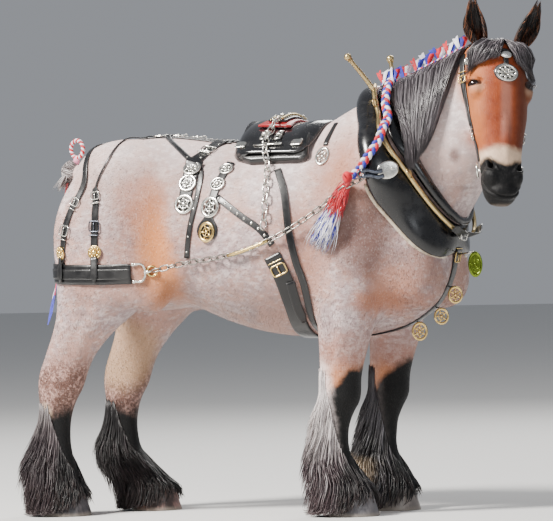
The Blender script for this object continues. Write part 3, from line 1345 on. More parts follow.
def makeFeather(kind, side, material):
    word = "right" if side < 0 else "left"
    draw = np.random.default_rng(41 + (side > 0) + 2 * (kind == "hindleg"))
    count, stations = feather["strands"], feather["stations"]
    top = feather["top"][kind]
    # most hair grows behind the cannon and round the fetlock; a short fringe lies over the front of the hoof
    height = feather["lowest"] + (top - feather["lowest"]) * draw.random(count) ** 1.15
    spread = np.interp(height, *zip(*feather["spread"]))
    angle = np.clip(draw.normal(0, 0.50, count), -1, 1) * spread
    order = np.lexsort((angle, np.round(height / 0.05)))
    height, angle = height[order], angle[order]
    hang = np.interp(np.abs(angle), *zip(*feather["drop"])) * draw.uniform(0.7, 1.15, count)
    t = np.linspace(0, 1, stations)[None, :]
    least = feather["clear"] + 0.030 * draw.random((count, 1)) ** 2 * t
    z = np.maximum(height[:, None] - hang[:, None] * t, least)
    share = draw.uniform(0.15, 1.0, (count, 1)) ** 0.8
    turned = angle[:, None] * (1 - 0.10 * t)
    lines = featherLine(kind, side, turned, z, share * t**0.75 - 0.02 * (t < 0.01))
    lines[:, 0] -= (lines[:, 1] - lines[:, 0]) * 0.10
    outs = np.stack([-np.cos(turned), np.sin(turned), 0.25 + 0 * turned], axis=-1)
    lines = clumped(lines, feather["clumps"], 0.55, draw)
    lines += wavy(count, stations, 0.0045, draw)
    lines[:, :, 2] = np.maximum(lines[:, :, 2], feather["floor"])
    outs[:, :, 1] += np.sin(draw.uniform(-1.2, 1.2, (count, 1))) * 1.2
    widths = taper(count, feather["width"], stations, draw)
    tufts("feather_%s_%s" % (kind, word), lines, widths, outs, material, draw)


def featherFinish(name, high, low, streak, share, change, middle, patch=None):
    # colour by height, black in front of the leg's middle, with light streaks strand by strand
    finish = Finish(name, low, 0.45)
    shade, along = finish.stored("shade"), finish.stored("along")
    place = finish.place()
    x, _, z = finish.parts(place)
    clump = finish.noise(place, 14.0, 3.0)
    level = z + (clump - 0.5) * 0.16 + (shade - 0.5) * 0.10
    colour = finish.mix(finish.band(level, *change), low, high)
    streaked = finish.band(shade + (clump - 0.5) * 0.5, 1 - share, 1 - share * 0.5)
    colour = finish.mix(streaked * 0.85, colour, streak)
    front = finish.band(x, middle - 0.02, middle + 0.02)
    colour = finish.mix(front * 0.92, colour, coat["black"])
    if patch:
        centre, radii, tint = patch
        colour = finish.mix(finish.spot(place, centre, radii, 0.4, (clump - 0.5) * 0.6) * 0.85, colour, tint)
    tips = finish.band(along, 0.6, 1.0) * finish.band(z, 0.25, 0.05)
    colour = finish.mix(tips * 0.35, colour, screen(98, 78, 76))
    finish.set("Base Color", colour)
    finish.set("Roughness", finish.band(clump, 0.3, 0.7) * 0.12 + 0.40)
    return finish.material


# high and low colour, streaks and their share, heights of the change, where the front begins, a pale patch
footLooks = {
    ("foreleg", -1): (
        "near_fore", screen(206, 198, 196), screen(72, 58, 62), screen(156, 148, 150), 0.28,
        (0.17, 0.34), 0.615,
    ),
    ("foreleg", 1): (
        "far_fore", screen(72, 70, 74), screen(22, 19, 21), screen(96, 94, 98), 0.18,
        (0.22, 0.42), 0.655, ((0.50, 0.191, 0.145), (0.11, 0.13, 0.065), screen(204, 180, 148)),
    ),
    ("hindleg", -1): (
        "near_hind", screen(110, 104, 104), screen(44, 34, 38), screen(92, 82, 84), 0.18,
        (0.30, 0.40), -0.600,
    ),
    ("hindleg", 1): (
        "far_hind", screen(20, 18, 20), screen(22, 19, 20), screen(64, 56, 58), 0.14,
        (0.25, 0.40), -0.400,
    ),
}
footFinishes = {leg: featherFinish("feather_" + name, *looks) for leg, (name, *looks) in footLooks.items()}


# Eyes, hooves and ears


def eyeFinish():
    finish = Finish("eye", screen(28, 16, 10), 0.08, Coat_Weight=1.0, Coat_Roughness=0.02)
    return finish.material


def hornFinish(name, tone, warm):
    finish = Finish(name, tone, 0.42)
    place = finish.place()
    z = finish.parts(place)[2]
    cloud = finish.noise(place, 16.0, 3.0)
    fibres = finish.noise(place, 120.0, 3.0, 0.6, (1.0, 1.0, 0.10))
    rings = finish.noise(place, 26.0, 2.0, 0.5, (0.25, 0.25, 3.2))
    colour = finish.mix(finish.band(cloud + (fibres - 0.5) * 0.6, 0.35, 0.70), tone, warm)
    worn = finish.band(z, 0.020, 0.004)
    colour = finish.mix(worn * 0.6, colour, screen(146, 136, 124))
    finish.set("Base Color", colour)
    finish.set("Roughness", finish.band(fibres, 0.3, 0.7) * 0.16 + 0.34)
    finish.bump(rings + fibres * 0.35, 0.0022, 0.7)
    return finish.material


hoofSizes = {
    "height": 0.086,
    "sole": (0.1005, 0.0935),
    "top": (0.070, 0.069),
    "reach": -0.006,
    # from the sole up: share of the height, and how far the ring is drawn in
    "rings": [
        (0.0, 0.80), (0.0, 0.965), (0.02, 0.985), (0.06, 0.995), (0.25, 0.990), (0.5, 0.985), (0.75, 0.985),
        (0.92, 1.0), (1.0, 0.97), (1.0, 0.80),
    ],
    "looks": {
        "front_right": (screen(84, 82, 86), screen(120, 116, 118)),
        "front_left": (screen(116, 108, 104), screen(158, 148, 140)),
        "hind_right": (screen(62, 60, 64), screen(100, 96, 98)),
        "hind_left": (screen(58, 48, 46), screen(140, 108, 100)),
    },
}


def makeHoof(kind, side):
    word = ("front_" if kind == "foreleg" else "hind_") + ("right" if side < 0 else "left")
    tall = hoofSizes["height"]
    x, y = (float(v) for v in legAt(kind, side, tall)[:2])
    rings = []
    for share, tuck in hoofSizes["rings"]:
        length, width = ((a + (b - a) * share) * tuck for a, b in zip(hoofSizes["sole"], hoofSizes["top"]))
        centre = (x + hoofSizes["reach"] * (1 - share), y, share * tall)
        rings.append(oval(centre, (1, 0, 0), (0, 1, 0), length, width, width, 2.15, 56))
    hoof = loft("hoof_" + word + "_horn", rings, hornFinish("horn_" + word, *hoofSizes["looks"][word]))
    # a notch at the heels, between the bulbs
    points = pointsOf(hoof)
    behind = soft(x - points[:, 0], 0.05, 0.095)
    notch = np.exp(-(((points[:, 1] - y) / 0.016) ** 2)) * behind * soft(points[:, 2], 0.075, 0.03)
    points[:, 0] += 0.014 * notch
    setPoints(hoof, points)
    return hoof


ears = {
    "roots": {-1: (-0.068, 0.012, -0.074), 1: (0.088, 0.012, -0.074)},
    "tips": {-1: Vector((1.160, -0.140, 1.942)), 1: Vector((1.356, 0.006, 1.924))},
    "width": 0.094,
    "wall": 0.0045,
    # along the ear: share, width, depth of the cup
    "shape": [
        (0.0, 0.60, 0.040), (0.08, 0.70, 0.042), (0.16, 0.84, 0.040), (0.26, 0.95, 0.037),
        (0.36, 1.00, 0.033), (0.46, 0.99, 0.030), (0.56, 0.92, 0.026), (0.66, 0.80, 0.022),
        (0.76, 0.62, 0.017), (0.85, 0.43, 0.011), (0.92, 0.26, 0.007), (0.97, 0.12, 0.004),
    ],
    "hairs": 900,
}


def earFinish():
    finish = Finish("ear_coat", coat["black"], 0.6, Sheen_Weight=0.15)
    place = finish.place()
    inner = finish.stored("inner")
    grain = finish.noise(place, 180.0, 3.0, 0.6, (1.0, 1.0, 0.3))
    colour = finish.mix(finish.band(grain, 0.35, 0.75) * 0.5, coat["black"], screen(34, 28, 27))
    edge = finish.mix(finish.band(grain, 0.3, 0.7), screen(116, 64, 36), screen(150, 96, 62))
    colour = finish.mix(inner, colour, edge)
    finish.set("Base Color", colour)
    finish.bump(grain, 0.002, 0.6)
    return finish.material


def makeEar(side, word, material):
    turn = headTurn()
    root = onHead(*ears["roots"][side])
    tip = ears["tips"][side]
    up = (tip - root).normalized()
    face = (turn.col[2] + turn.col[0] * side * 0.30).normalized()
    face = (face - up * face.dot(up)).normalized()
    across = up.cross(face)
    length = (tip - root).length
    rings, warm = [], []
    count = 17
    for share, wide, deep in smoothRows(ears["shape"], 3):
        half = ears["width"] / 2 * wide
        middle = root + up * length * share + across * side * 0.012 * math.sin(math.pi * share)
        curl = 0.20 * (1 - share)
        outer, inner = [], []
        for k in range(count):
            a = math.pi * k / (count - 1)
            reach = math.cos(a) * (1 - curl * (1 - abs(math.sin(a))) * 0.4)
            point = middle + across * half * reach - face * (deep * math.sin(a))
            shrink = max(0.3, 1 - ears["wall"] / max(half, 0.001))
            wall = ears["wall"] * min(1.0, 3 * deep / 0.03) * math.sin(a) + 0.0004
            outer.append(point)
            inner.append(middle + across * half * shrink * reach - face * (deep * math.sin(a) - wall))
        rings.append(outer + inner[::-1])
        rim = [float(soft(abs(math.cos(math.pi * k / (count - 1))), 0.45, 0.95)) for k in range(count)]
        low = float(soft(share, 0.50, 0.15)) * 0.8
        warm += [0.25 * r * low for r in rim] + [low * (0.25 + 0.75 * r) for r in rim[::-1]]
    piece = loft("ear_%s_skin" % word, rings, material)
    store(piece.data, "inner", warm)
    return piece, rings


def earHair(side, word, rings, material):
    # soft hair that closes the mouth of the ear, and a fringe along its edges
    draw = np.random.default_rng(51 + (side > 0))
    grid = np.array([[tuple(p) for p in ring] for ring in rings])
    count, stations, half = ears["hairs"], 4, grid.shape[1] // 2
    rows = draw.integers(1, len(grid) - 4, count)
    onRim = draw.random(count) < 0.6
    rims = draw.choice([half, half + 1, 2 * half - 2, 2 * half - 1], count)
    columns = np.where(onRim, rims, draw.integers(half, 2 * half, count))
    roots = grid[rows, columns] + draw.normal(0, 0.0015, (count, 3))
    heart = grid[rows].mean(axis=1)
    up = np.array((ears["tips"][side] - onHead(*ears["roots"][side])).normalized())
    face = np.array(headTurn().col[2])
    way = (heart - roots) * 0.35 + face * 0.010 + up * 0.024 * draw.uniform(0.5, 1.2, (count, 1))
    t = np.linspace(0, 1, stations)[None, :, None]
    lines = roots[:, None] + way[:, None] * t + up * 0.010 * t**2
    facings = np.repeat((roots - heart)[:, None], stations, axis=1)
    tufts("ear_hair_" + word, lines, taper(count, 0.0022, stations, draw), facings, material, draw)


def makeEye(side, word):
    radius = head["eyeRadius"] - 0.0004
    return egg("eye_ball_" + word, eyeFrame(side)[0], (radius, radius, radius), None, 40, eyeFinish())


def lashes(side, word):
    draw = np.random.default_rng(61 + (side > 0))
    centre, look, up, across = (np.array(v) for v in eyeFrame(side))
    count, stations = 60, 5
    a = draw.uniform(-0.85, 0.85, count)
    wide, above, _ = head["eyeOpening"]
    high = above * np.sqrt(1 - a * a)
    radius = head["eyeRadius"] + 0.002
    flat = np.stack([a * wide, high], axis=1)
    out = np.sqrt(radius**2 - (flat**2).sum(axis=1))
    roots = centre + across * flat[:, :1] + up * flat[:, 1:] + look * out[:, None]
    t = np.linspace(0, 1, stations)[None, :, None]
    way = look * 0.016 - up * 0.006 + across * (a * 0.008)[:, None]
    lines = roots[:, None] + way[:, None] * t + up * 0.006 * t**2
    facings = np.broadcast_to(up, lines.shape)
    tufts("lashes_" + word, lines, taper(count, 0.0011, stations, draw), facings, maneFinish, draw)


eyePieces = {word: makeEye(side, word) for side, word in bothSides}
hooves = {leg: makeHoof(*leg) for leg in fourLegs}
earMaterial = earFinish()
earTones = screen(26, 22, 22), screen(60, 44, 38), screen(150, 92, 58)
earHairMaterial = strandFinish("ear_hair", *earTones, 0.30, 0.6)
for side, word in bothSides:
    earPiece, earRings = makeEar(side, word, earMaterial)
    earHair(side, word, earRings, earHairMaterial)
    lashes(side, word)
    cover.add(earPiece)
for (kind, side), material in footFinishes.items():
    makeFeather(kind, side, material)


# Leather, metal and cloth


def leatherFinish(name, tone, rough, shine, stitch=None, lining=None):
    # grained leather, creased along its edges, with a row of stitches and wear on the rim
    finish = Finish(name, tone, rough, Coat_Weight=shine, Coat_Roughness=0.16)
    place = finish.place()
    edge, along = finish.stored("edge"), finish.stored("run")
    grain = finish.noise(place, 420.0, 4.0, 0.6)
    scuff = finish.noise(place, 34.0, 4.0, 0.6)
    worn = finish.band(edge, 0.0022, 0.0004) * 0.5 + finish.band(scuff, 0.58, 0.74) * 0.25
    colour = finish.mix(worn, tone, tuple(min(1.0, c * 2.6 + 0.03) for c in tone))
    crease = finish.band(finish.size(edge - 0.0030), 0.0009, 0.0)
    height = grain * 0.10 - crease * 0.5
    if stitch:
        row = finish.band(finish.size(edge - 0.0058), 0.0009, 0.0004)
        dash = finish.band(finish.sine(along * 1400.0), 0.0, 0.5)
        colour = finish.mix(row * dash, colour, stitch)
        height = height + row * dash * 0.5
    if lining:
        colour = finish.mix(finish.stored("lining"), colour, lining)
    finish.set("Base Color", colour)
    finish.set("Roughness", finish.band(scuff, 0.3, 0.7) * 0.16 + (rough - 0.06))
    finish.bump(height, 0.0016, 0.7)
    return finish.material


def metalFinish(name, tone, dull, rough=0.24, dent=0.5):
    # cast or forged metal, dark in its hollows, rubbed bright where it is handled
    finish = Finish(name, tone, rough, 1.0)
    place = finish.place()
    cloud = finish.noise(place, 55.0, 4.0, 0.6)
    fine = finish.noise(place, 380.0, 3.0, 0.6)
    tarnish = finish.band(cloud + (fine - 0.5) * 0.4, 0.52, 0.74)
    finish.set("Base Color", finish.mix(tarnish * 0.75, tone, dull))
    finish.set("Roughness", tarnish * 0.24 + finish.band(fine, 0.3, 0.7) * 0.08 + (rough - 0.04))
    finish.bump(cloud * 0.5 + fine * 0.25, 0.0012, dent)
    return finish.material


def clothFinish(name, tone, deep, weave=900.0):
    # woven ribbon or wool: fine threads, a little sheen, darker in the folds
    finish = Finish(name, tone, 0.72, Sheen_Weight=0.35, Sheen_Roughness=0.4)
    place = finish.place()
    x, y, z = finish.parts(place)
    warp = finish.sine((x + z) * weave * 2.0)
    weft = finish.sine((y - z) * weave * 2.0)
    cloud = finish.noise(place, 40.0, 3.0)
    finish.set("Base Color", finish.mix(finish.band(cloud + warp * 0.08, 0.35, 0.75), tone, deep))
    finish.bump(warp * 0.5 + weft * 0.5, 0.0006, 0.5)
    return finish.material


black = leatherFinish("black_leather_strap", screen(10, 10, 12), 0.36, 0.22, screen(50, 48, 46))
patent = leatherFinish("black_leather_polished", screen(13, 13, 15), 0.20, 0.85, screen(60, 58, 58))
collarLeather = leatherFinish(
    "black_leather_collar", screen(8, 8, 11), 0.27, 0.42, lining=screen(206, 190, 160)
)
redLeather = leatherFinish("red_leather", screen(140, 20, 26), 0.42, 0.3, screen(190, 150, 90))
brass = metalFinish("brass", screen(226, 196, 128), screen(132, 98, 50))
white = metalFinish("white_metal", screen(232, 230, 222), screen(140, 134, 122), 0.20)
steel = metalFinish("steel_chain", screen(158, 153, 146), screen(76, 64, 52), 0.30, 0.9)
darkSteel = metalFinish("steel_dark", screen(96, 100, 110), screen(40, 42, 48), 0.28)
goldRod = metalFinish("brass_rod", screen(204, 180, 128), screen(120, 96, 60), 0.30)
linen = clothFinish("lining_coat_cloth", screen(214, 198, 176), screen(170, 150, 124), 700.0)
enamel = metalFinish("green_brass", screen(120, 138, 50), screen(60, 72, 24), 0.24)
redCloth = clothFinish("ribbon_red", screen(206, 16, 34), screen(146, 8, 22))
whiteCloth = clothFinish("ribbon_white", screen(236, 234, 240), screen(190, 188, 206))
blueCloth = clothFinish("ribbon_blue", screen(40, 46, 168), screen(22, 26, 112))
pinkCloth = clothFinish("ribbon_pink", screen(222, 150, 176), screen(180, 84, 120))


class Laid:
    # a strap in its place, and its top, point by point: place, way out, way across, way along
    def __init__(self, piece, tops):
        self.piece, self.tops = piece, tops

    def at(self, share):
        return self.tops[min(len(self.tops) - 1, max(0, round(share * (len(self.tops) - 1))))]


def laidFrames(line):
    outs = [bare.tree.find_nearest(p)[1].copy() for p in line]
    for _ in range(4):
        ends = [outs[0]] + outs + [outs[-1]]
        outs = [(ends[i] + 2 * ends[i + 1] + ends[i + 2]).normalized() for i in range(len(outs))]
    frames = []
    for i, out in enumerate(outs):
        ahead = (line[min(i + 1, len(line) - 1)] - line[max(i - 1, 0)]).normalized()
        across = ahead.cross(out).normalized()
        frames.append((across.cross(ahead).normalized(), across, ahead))
    return frames


def band(
    name, guide, width, thick, material, step=0.012, lanes=5, gap=0.0008, aside=None, stiff=True, crown=0.10,
    reach=0.075, calm=4,
):
    # a flat band with rounded edges, over all that is laid so far; width and aside may be functions of 0 to 1
    # along the band, and thick one of 0 to 1 along and 0 to 1 across
    line = evenLine(guide, step)
    frames = laidFrames(line)
    rows = len(line)
    shares = np.linspace(0, 1, rows)
    wide = np.array([width(s) if callable(width) else width for s in shares])
    off = np.array([aside(s) if aside else 0.0 for s in shares])
    lateral = np.linspace(-0.5, 0.5, lanes)
    lift = np.full((rows, lanes), np.nan)
    for i in range(rows):
        out, side, _ = frames[i]
        for j in range(lanes):
            h = cover.height(line[i] + side * (off[i] + wide[i] * lateral[j]), out, reach)
            if h is not None:
                lift[i, j] = h
    filled = np.nanmean(lift, axis=1)
    filled = np.where(np.isnan(filled), np.nanmean(filled), filled)
    lift = np.where(np.isnan(lift), filled[:, None], lift)
    if stiff:
        # leather stays flat across its width
        slope = (lift * lateral).sum(axis=1) / (lateral**2).sum()
        flat = lift.mean(axis=1)[:, None] + slope[:, None] * lateral
        lift = flat + (lift - flat).max(axis=1, keepdims=True)
    ends = np.pad(lift, ((1, 1), (0, 0)), "edge")
    raised = np.maximum(np.maximum(ends[:-2], ends[1:-1]), ends[2:])
    for _ in range(calm):
        ends = np.pad(raised, ((1, 1), (0, 0)), "edge")
        raised = (ends[:-2] + 2 * ends[1:-1] + ends[2:]) / 4
    lift = np.maximum(raised, lift) + gap
    many = 2 * lanes - 1
    under = [(u, 0.0) for u in np.linspace(-0.488, 0.488, many)]
    over = [(u, 1.0 + crown * (1 - (2 * u) ** 2)) for u in np.linspace(0.480, -0.480, many)]
    section = [*under, (0.5, 0.22), (0.5, 0.74), *over, (-0.5, 0.74), (-0.5, 0.22)]
    rings, edge, run, tops = [], [], [], []
    way = 0.0
    for i in range(rows):
        out, side, ahead = frames[i]
        way += (line[i] - line[i - 1]).length if i else 0.0
        heights = np.interp([u for u, _ in section], lateral, lift[i])
        deep = [thick(shares[i], u + 0.5) if callable(thick) else thick for u, _ in section]
        start = line[i] + side * off[i]
        rings.append([
            start + side * wide[i] * u + out * (h + v * d) for (u, v), h, d in zip(section, heights, deep)
        ])
        edge += [(0.5 - abs(u)) * wide[i] for u, _ in section]
        run += [way] * len(section)
        top = float(np.interp(0, lateral, lift[i])) + deep[len(deep) // 2] * (1 + crown)
        tops.append((line[i] + side * off[i] + out * top, out, side, ahead))
    piece = loft(name, rings, material)
    store(piece.data, "edge", edge)
    store(piece.data, "run", run)
    cover.add(piece)
    return Laid(piece, tops)


def tube(name, line, radius, sides=10, closed=False, material=None):
    count = len(line)
    radii = [radius] * count if isinstance(radius, (int, float)) else list(radius)
    side, rings = None, []
    for i, point in enumerate(line):
        before = line[i - 1] if closed or i else line[i]
        after = line[(i + 1) % count] if closed or i < count - 1 else line[i]
        ahead = (after - before).normalized()
        side = side or ahead.orthogonal()
        side = (side - ahead * side.dot(ahead)).normalized()
        other = ahead.cross(side)
        turn = [2 * math.pi * k / sides for k in range(sides)]
        rings.append([point + (side * math.cos(a) + other * math.sin(a)) * radii[i] for a in turn])
    return loft(name, rings, material, closed)


def upright(out, up=None):
    # up and to the side, for something that faces this way
    up = up or Vector((0, 0, 1))
    up = (up - out * out.dot(up)).normalized()
    return up, up.cross(out)


def hoop(name, centre, facing, radius, wire, turns=28, sides=8, material=None, tall=1.0, up=None):
    facing = facing.normalized()
    up, side = upright(facing, up)
    angles = [2 * math.pi * k / turns for k in range(turns)]
    line = [centre + (side * math.cos(a) + up * math.sin(a) * tall) * radius for a in angles]
    return tube(name, line, wire, sides, True, material)


def roundBox(name, centre, across, along, out, width, length, thick, material, corner=0.2):
    # a small plate with rounded corners and a domed face
    rings = []
    for rise, shrink in ((0.0, 1.0), (0.6, 1.0), (0.9, 0.94), (1.0, 0.80), (1.12, 0.30)):
        wide, long = width / 2 * shrink, length / 2 * shrink
        rings.append(oval(centre + out * thick * rise, across, along, wide, long, long, 2 / corner, 24))
    return loft(name, rings, material)


def studs(name, laid, shares, radius, material, off=0.0):
    pieces = []
    for share in shares:
        point, out, side, ahead = laid.at(share)
        turn = Matrix((side, ahead, out)).transposed()
        place = point + side * off + out * radius * 0.05
        pieces.append(egg("stud", place, (radius, radius, radius * 0.6), turn, 10))
    return joined(name, pieces, material)


def buckle(name, spot, width, length, material, wire=0.0026):
    # a frame round the strap, its tongue, and a keeper below
    point, out, side, ahead = spot
    point = point + out * wire * 0.8
    frameLine = oval(point, side, ahead, width / 2 + 0.004, length / 2, length / 2, 5.0, 32)
    pieces = [tube("frame", frameLine, wire, 8, True)]
    start, end = point - ahead * length * 0.48, point + ahead * length * 0.52
    pieces.append(tube("tongue", [start, point + out * wire * 1.4, end + out * wire * 0.6], wire * 0.8, 6))
    loopAt = point - ahead * (length * 0.5 + 0.014) + out * 0.0008
    loopLine = oval(loopAt, side, out, width / 2 + 0.0035, 0.0035, 0.0065, 4.0, 20)
    pieces.append(tube("keeper", loopLine, 0.0020, 6, True))
    return joined(name, pieces, material)


def rosette(name, point, out, radius, material, petals, thick):
    # a domed boss with a ring of petals
    up, side = upright(out)
    turn = Matrix((side, up, out)).transposed()
    pieces = [roundBox("base", point, side, up, out, radius * 2, radius * 2, thick * 0.35, None, 1.0)]
    dome = (radius * 0.42, radius * 0.42, thick * 0.75)
    pieces.append(egg("dome", point + out * thick * 0.4, dome, turn, 16))
    for k in range(petals):
        angle = 2 * math.pi * k / petals
        way = side * math.cos(angle) + up * math.sin(angle)
        spun = Matrix((out.cross(way), way, out)).transposed()
        place = point + way * radius * 0.66 + out * thick * 0.3
        pieces.append(egg("petal", place, (radius * 0.20, radius * 0.27, thick * 0.42), spun, 10))
    pieces.append(hoop("rim", point + out * thick * 0.3, out, radius * 0.95, thick * 0.22, 28, 6))
    return joined(name, pieces, material)


def piercedBrass(name, point, out, radius, material, spokes, tall, up=None):
    # a hanging brass: a broad outer ring, spokes, an inner ring and a boss, open between them
    up, side = upright(out, up)
    thick = 0.0024
    heart = point + out * thick
    turn = Matrix((side, up, out)).transposed()
    turns = 36
    angles = [2 * math.pi * k / turns for k in range(turns)]
    ways = [side * math.cos(a) + up * math.sin(a) * tall for a in angles]
    rings = []
    for reach, rise in ((0.72, -0.8), (1.0, -0.8), (1.02, 0.0), (0.99, 0.8), (0.86, 1.2), (0.72, 0.8)):
        rings.append([heart + way * radius * reach + out * thick * rise for way in ways])
    pieces = [loft("ring", rings, closed=True)]
    for k in range(spokes):
        angle = 2 * math.pi * (k + 0.5) / spokes
        way = side * math.cos(angle) + up * math.sin(angle) * tall
        line = [heart + way * radius * s for s in (0.16, 0.35, 0.55, 0.78)]
        pieces.append(tube("spoke", line, [radius * w for w in (0.05, 0.09, 0.13, 0.06)], 8))
    pieces.append(hoop("inner", heart, out, radius * 0.44, thick * 0.9, 24, 6, None, tall, up))
    pieces.append(egg("boss", heart, (radius * 0.20, radius * 0.20 * tall, thick * 2.0), turn, 14))
    return joined(name, pieces, material)


def linkLine(length, width, turns=7):
    # a chain link lying in a plane: two straights and two half circles
    half, radius = (length - width) / 2, width / 2
    points = []
    for end in (1, -1):
        for k in range(turns):
            a = math.pi * (k / (turns - 1) - 0.5)
            points.append((end * (half + radius * math.cos(a)), end * radius * math.sin(a)))
    return points


def chain(name, line, length, width, wire, material):
    # real links, each turned against the last, along a line
    tilt = 35
    pitch = length - 2 * wire - 0.0004
    whole = evenLine(line, pitch)
    pieces = []
    shape = linkLine(length - wire, width - wire)
    for i in range(len(whole) - 1):
        middle = (whole[i] + whole[i + 1]) / 2
        ahead = (whole[i + 1] - whole[i]).normalized()
        out = bare.tree.find_nearest(middle)[1]
        out = (out - ahead * out.dot(ahead)).normalized()
        across = ahead.cross(out)
        turn = math.radians(tilt if i % 2 else tilt - 90)
        flat = across * math.cos(turn) + out * math.sin(turn)
        pieces.append(tube("link", [middle + ahead * u + flat * v for u, v in shape], wire / 2, 6, True))
    return joined(name, pieces, material)


def pushedOut(line, radius, gap=0.001, rounds=24):
    # the line moved until a cord of this radius lies clear of all that is laid so far
    line = [p.copy() for p in line]
    for _ in range(rounds):
        moved = False
        for i in range(len(line) - 1):
            for t in (0.0, 0.5, 1.0):
                spot = line[i].lerp(line[i + 1], t)
                place, out, _, far = cover.tree.find_nearest(spot)
                inside = (spot - place).dot(out) < 0
                need = radius + gap + (far if inside else -far)
                if need > 0.0001:
                    way = bare.tree.find_nearest(spot)[1]
                    line[i] += way * need * (1 - t) * 0.9
                    line[i + 1] += way * need * t * 0.9
                    moved = True
        if not moved:
            break
    return line


def onPlace(x, y, z):
    # the nearest place on all that is laid so far, and the way out there
    point, out, _, _ = bare.tree.find_nearest(Vector((x, y, z)))
    height = cover.height(point, out, 0.12) or 0.0
    return point + out * height, out


def mirrored(guide):
    # from the right side over the middle to the left
    return [*guide, *((x, -y, z) for x, y, z in guide[-2::-1])]


def sided(guide, side):
    # a guide is drawn on the right side, which is -1
    return [(x, -y * side, z) for x, y, z in guide]


def pointed(width, start, narrowing):
    # a strap's width that runs to a point from this share of its length
    return lambda t: width if t < start else width * (1 - (t - start) * narrowing)


# which solids each piece stands for
stands = {}


def stand(piece, *nodes):
    stands[piece] = [*stands.get(piece, []), *nodes]
    return piece


# The collar: a stuffed ring, a roll in front of it, and the two hames in the groove between

collar = {
    "at": Vector((0.862, 0.0, 1.373)),
    "facing": Vector((0.866, 0.0, 0.500)).normalized(),
    # how wide it is by angle from its top, as a share of its widest
    "widths": [(0, 0.80), (50, 0.84), (105, 1.00), (145, 0.82), (180, 0.50)],
    # how much further its padding reaches back at each angle
    "fuller": [(0, 1.0), (80, 1.0), (112, 1.30), (142, 1.36), (165, 1.12), (180, 1.0)],
    # across the ring: along the neck, and above the skin
    "section": [
        (-0.106, 0.001), (-0.080, 0.000), (-0.050, 0.000), (-0.020, 0.000), (0.004, 0.002), (0.010, 0.018),
        (0.002, 0.040), (-0.018, 0.053), (-0.034, 0.060), (-0.055, 0.064), (-0.076, 0.060), (-0.094, 0.049),
        (-0.108, 0.034), (-0.114, 0.017), (-0.112, 0.006),
    ],
    "rim": (0.044, 0.0215),
    "turns": 120,
    "calm": 16,
    # the pale lining that shows along the rear edge, from and to this angle on each side, in degrees
    "piping": (100, 172),
}


def collarWay(angle):
    # out from the collar's middle; 0 is its top, and the right side comes first
    down = Vector((collar["facing"].z, 0.0, -collar["facing"].x))
    return -down * math.cos(angle) + Vector((0, -1, 0)) * math.sin(angle)


def collarPoint(angle, along, rise):
    # a place this far above the skin, looked for from outside
    middle, way = collar["at"] + collar["facing"] * along, collarWay(angle)
    far = 0.7
    start = middle + way * far
    hit = bare.tree.ray_cast(start, -way, far)
    return start - way * ((hit[3] if hit[0] is not None else 0.4) - rise)


def collarRing(name, section, material, lining=False):
    turns = collar["turns"]
    angles = [2 * math.pi * i / turns for i in range(turns)]
    turned = [math.degrees(min(a, 2 * math.pi - a)) for a in angles]
    slim = [float(np.interp(a, *zip(*collar["widths"]))) for a in turned]
    full = [float(np.interp(a, *zip(*collar["fuller"]))) if lining else 1.0 for a in turned]
    base = np.array([
        [collarPoint(a, along * s * (f if along < 0 else 1), 0.0) for along, _ in section]
        for a, s, f in zip(angles, slim, full)
    ])
    for _ in range(collar["calm"]):
        base = (np.roll(base, 1, 0) + 2 * base + np.roll(base, -1, 0)) / 4
    rings = []
    for a, s, f, row in zip(angles, slim, full, base):
        way = collarWay(a)
        lifts = [rise * s * (0.6 + 0.4 * f) + 0.0015 for _, rise in section]
        rings.append([Vector(p) + way * lift for p, lift in zip(row, lifts)])
    piece = loft(name, rings, material, closed=True)
    alongs, rises = np.array(section).T
    first = alongs.min()
    pale = soft(np.outer(slim, rises), 0.020, 0.012) * soft(alongs, first + 0.020, first + 0.008)
    store(piece.data, "edge", np.full(pale.size, 0.02))
    store(piece.data, "run", np.repeat(np.arange(turns) * 0.02, len(section)))
    store(piece.data, "lining", pale.ravel() if lining else np.zeros(pale.size))
    return piece


def closedRows(rows, steps):
    # a closed line of numbers, made finer
    fine = smoothRows([*rows[-2:], *rows, *rows[:2]], steps)
    return [tuple(r) for r in fine[2 * steps : (len(rows) + 2) * steps]]


def makeCollar():
    ring = collarRing("collar_pad", closedRows(collar["section"], 2), collarLeather, lining=True)
    along, radius = collar["rim"]
    section = [
        (along + radius * math.cos(a), radius * (0.97 + math.sin(a)) * 1.12)
        for a in [2 * math.pi * k / 14 for k in range(14)]
    ]
    roll = collarRing("collar_roll", section, collarLeather)
    stand(ring, "collar_body")
    stand(roll, "collar_rim")
    cover.add(ring, roll)
    points = pointsOf(ring).reshape(collar["turns"], -1, 3)
    low = [min(row, key=lambda p: (Vector(p) - collar["at"]).dot(collar["facing"])) for row in points]
    start, end = (int(collar["turns"] * a / 360) for a in collar["piping"])
    back = collar["facing"] * 0.004
    for side, word in bothSides:
        spots = [Vector(low[-side * k % collar["turns"]]) - back for k in range(start, end)]
        tube("collar_lining_" + word, spots, 0.0085, 10, False, linen)


hames = {
    "along": 0.010,
    "rod": 0.0095,
    "thin": 0.0072,
    "crook": (0.735, 0.115, 1.612),
    "bend": (0.705, 0.135, 1.662),
    "tip": (0.662, 0.200, 1.746),
    "plate": (0.862, -0.31, 1.312),
    # from the plate: back, up
    "tug": [(0.020, 0.006), (0.045, 0.004), (0.075, -0.012), (0.100, -0.016)],
    # where the low strap is laid, from the bottom of the collar
    "strap": (-0.34, -0.18, 0.0, 0.18, 0.34),
}


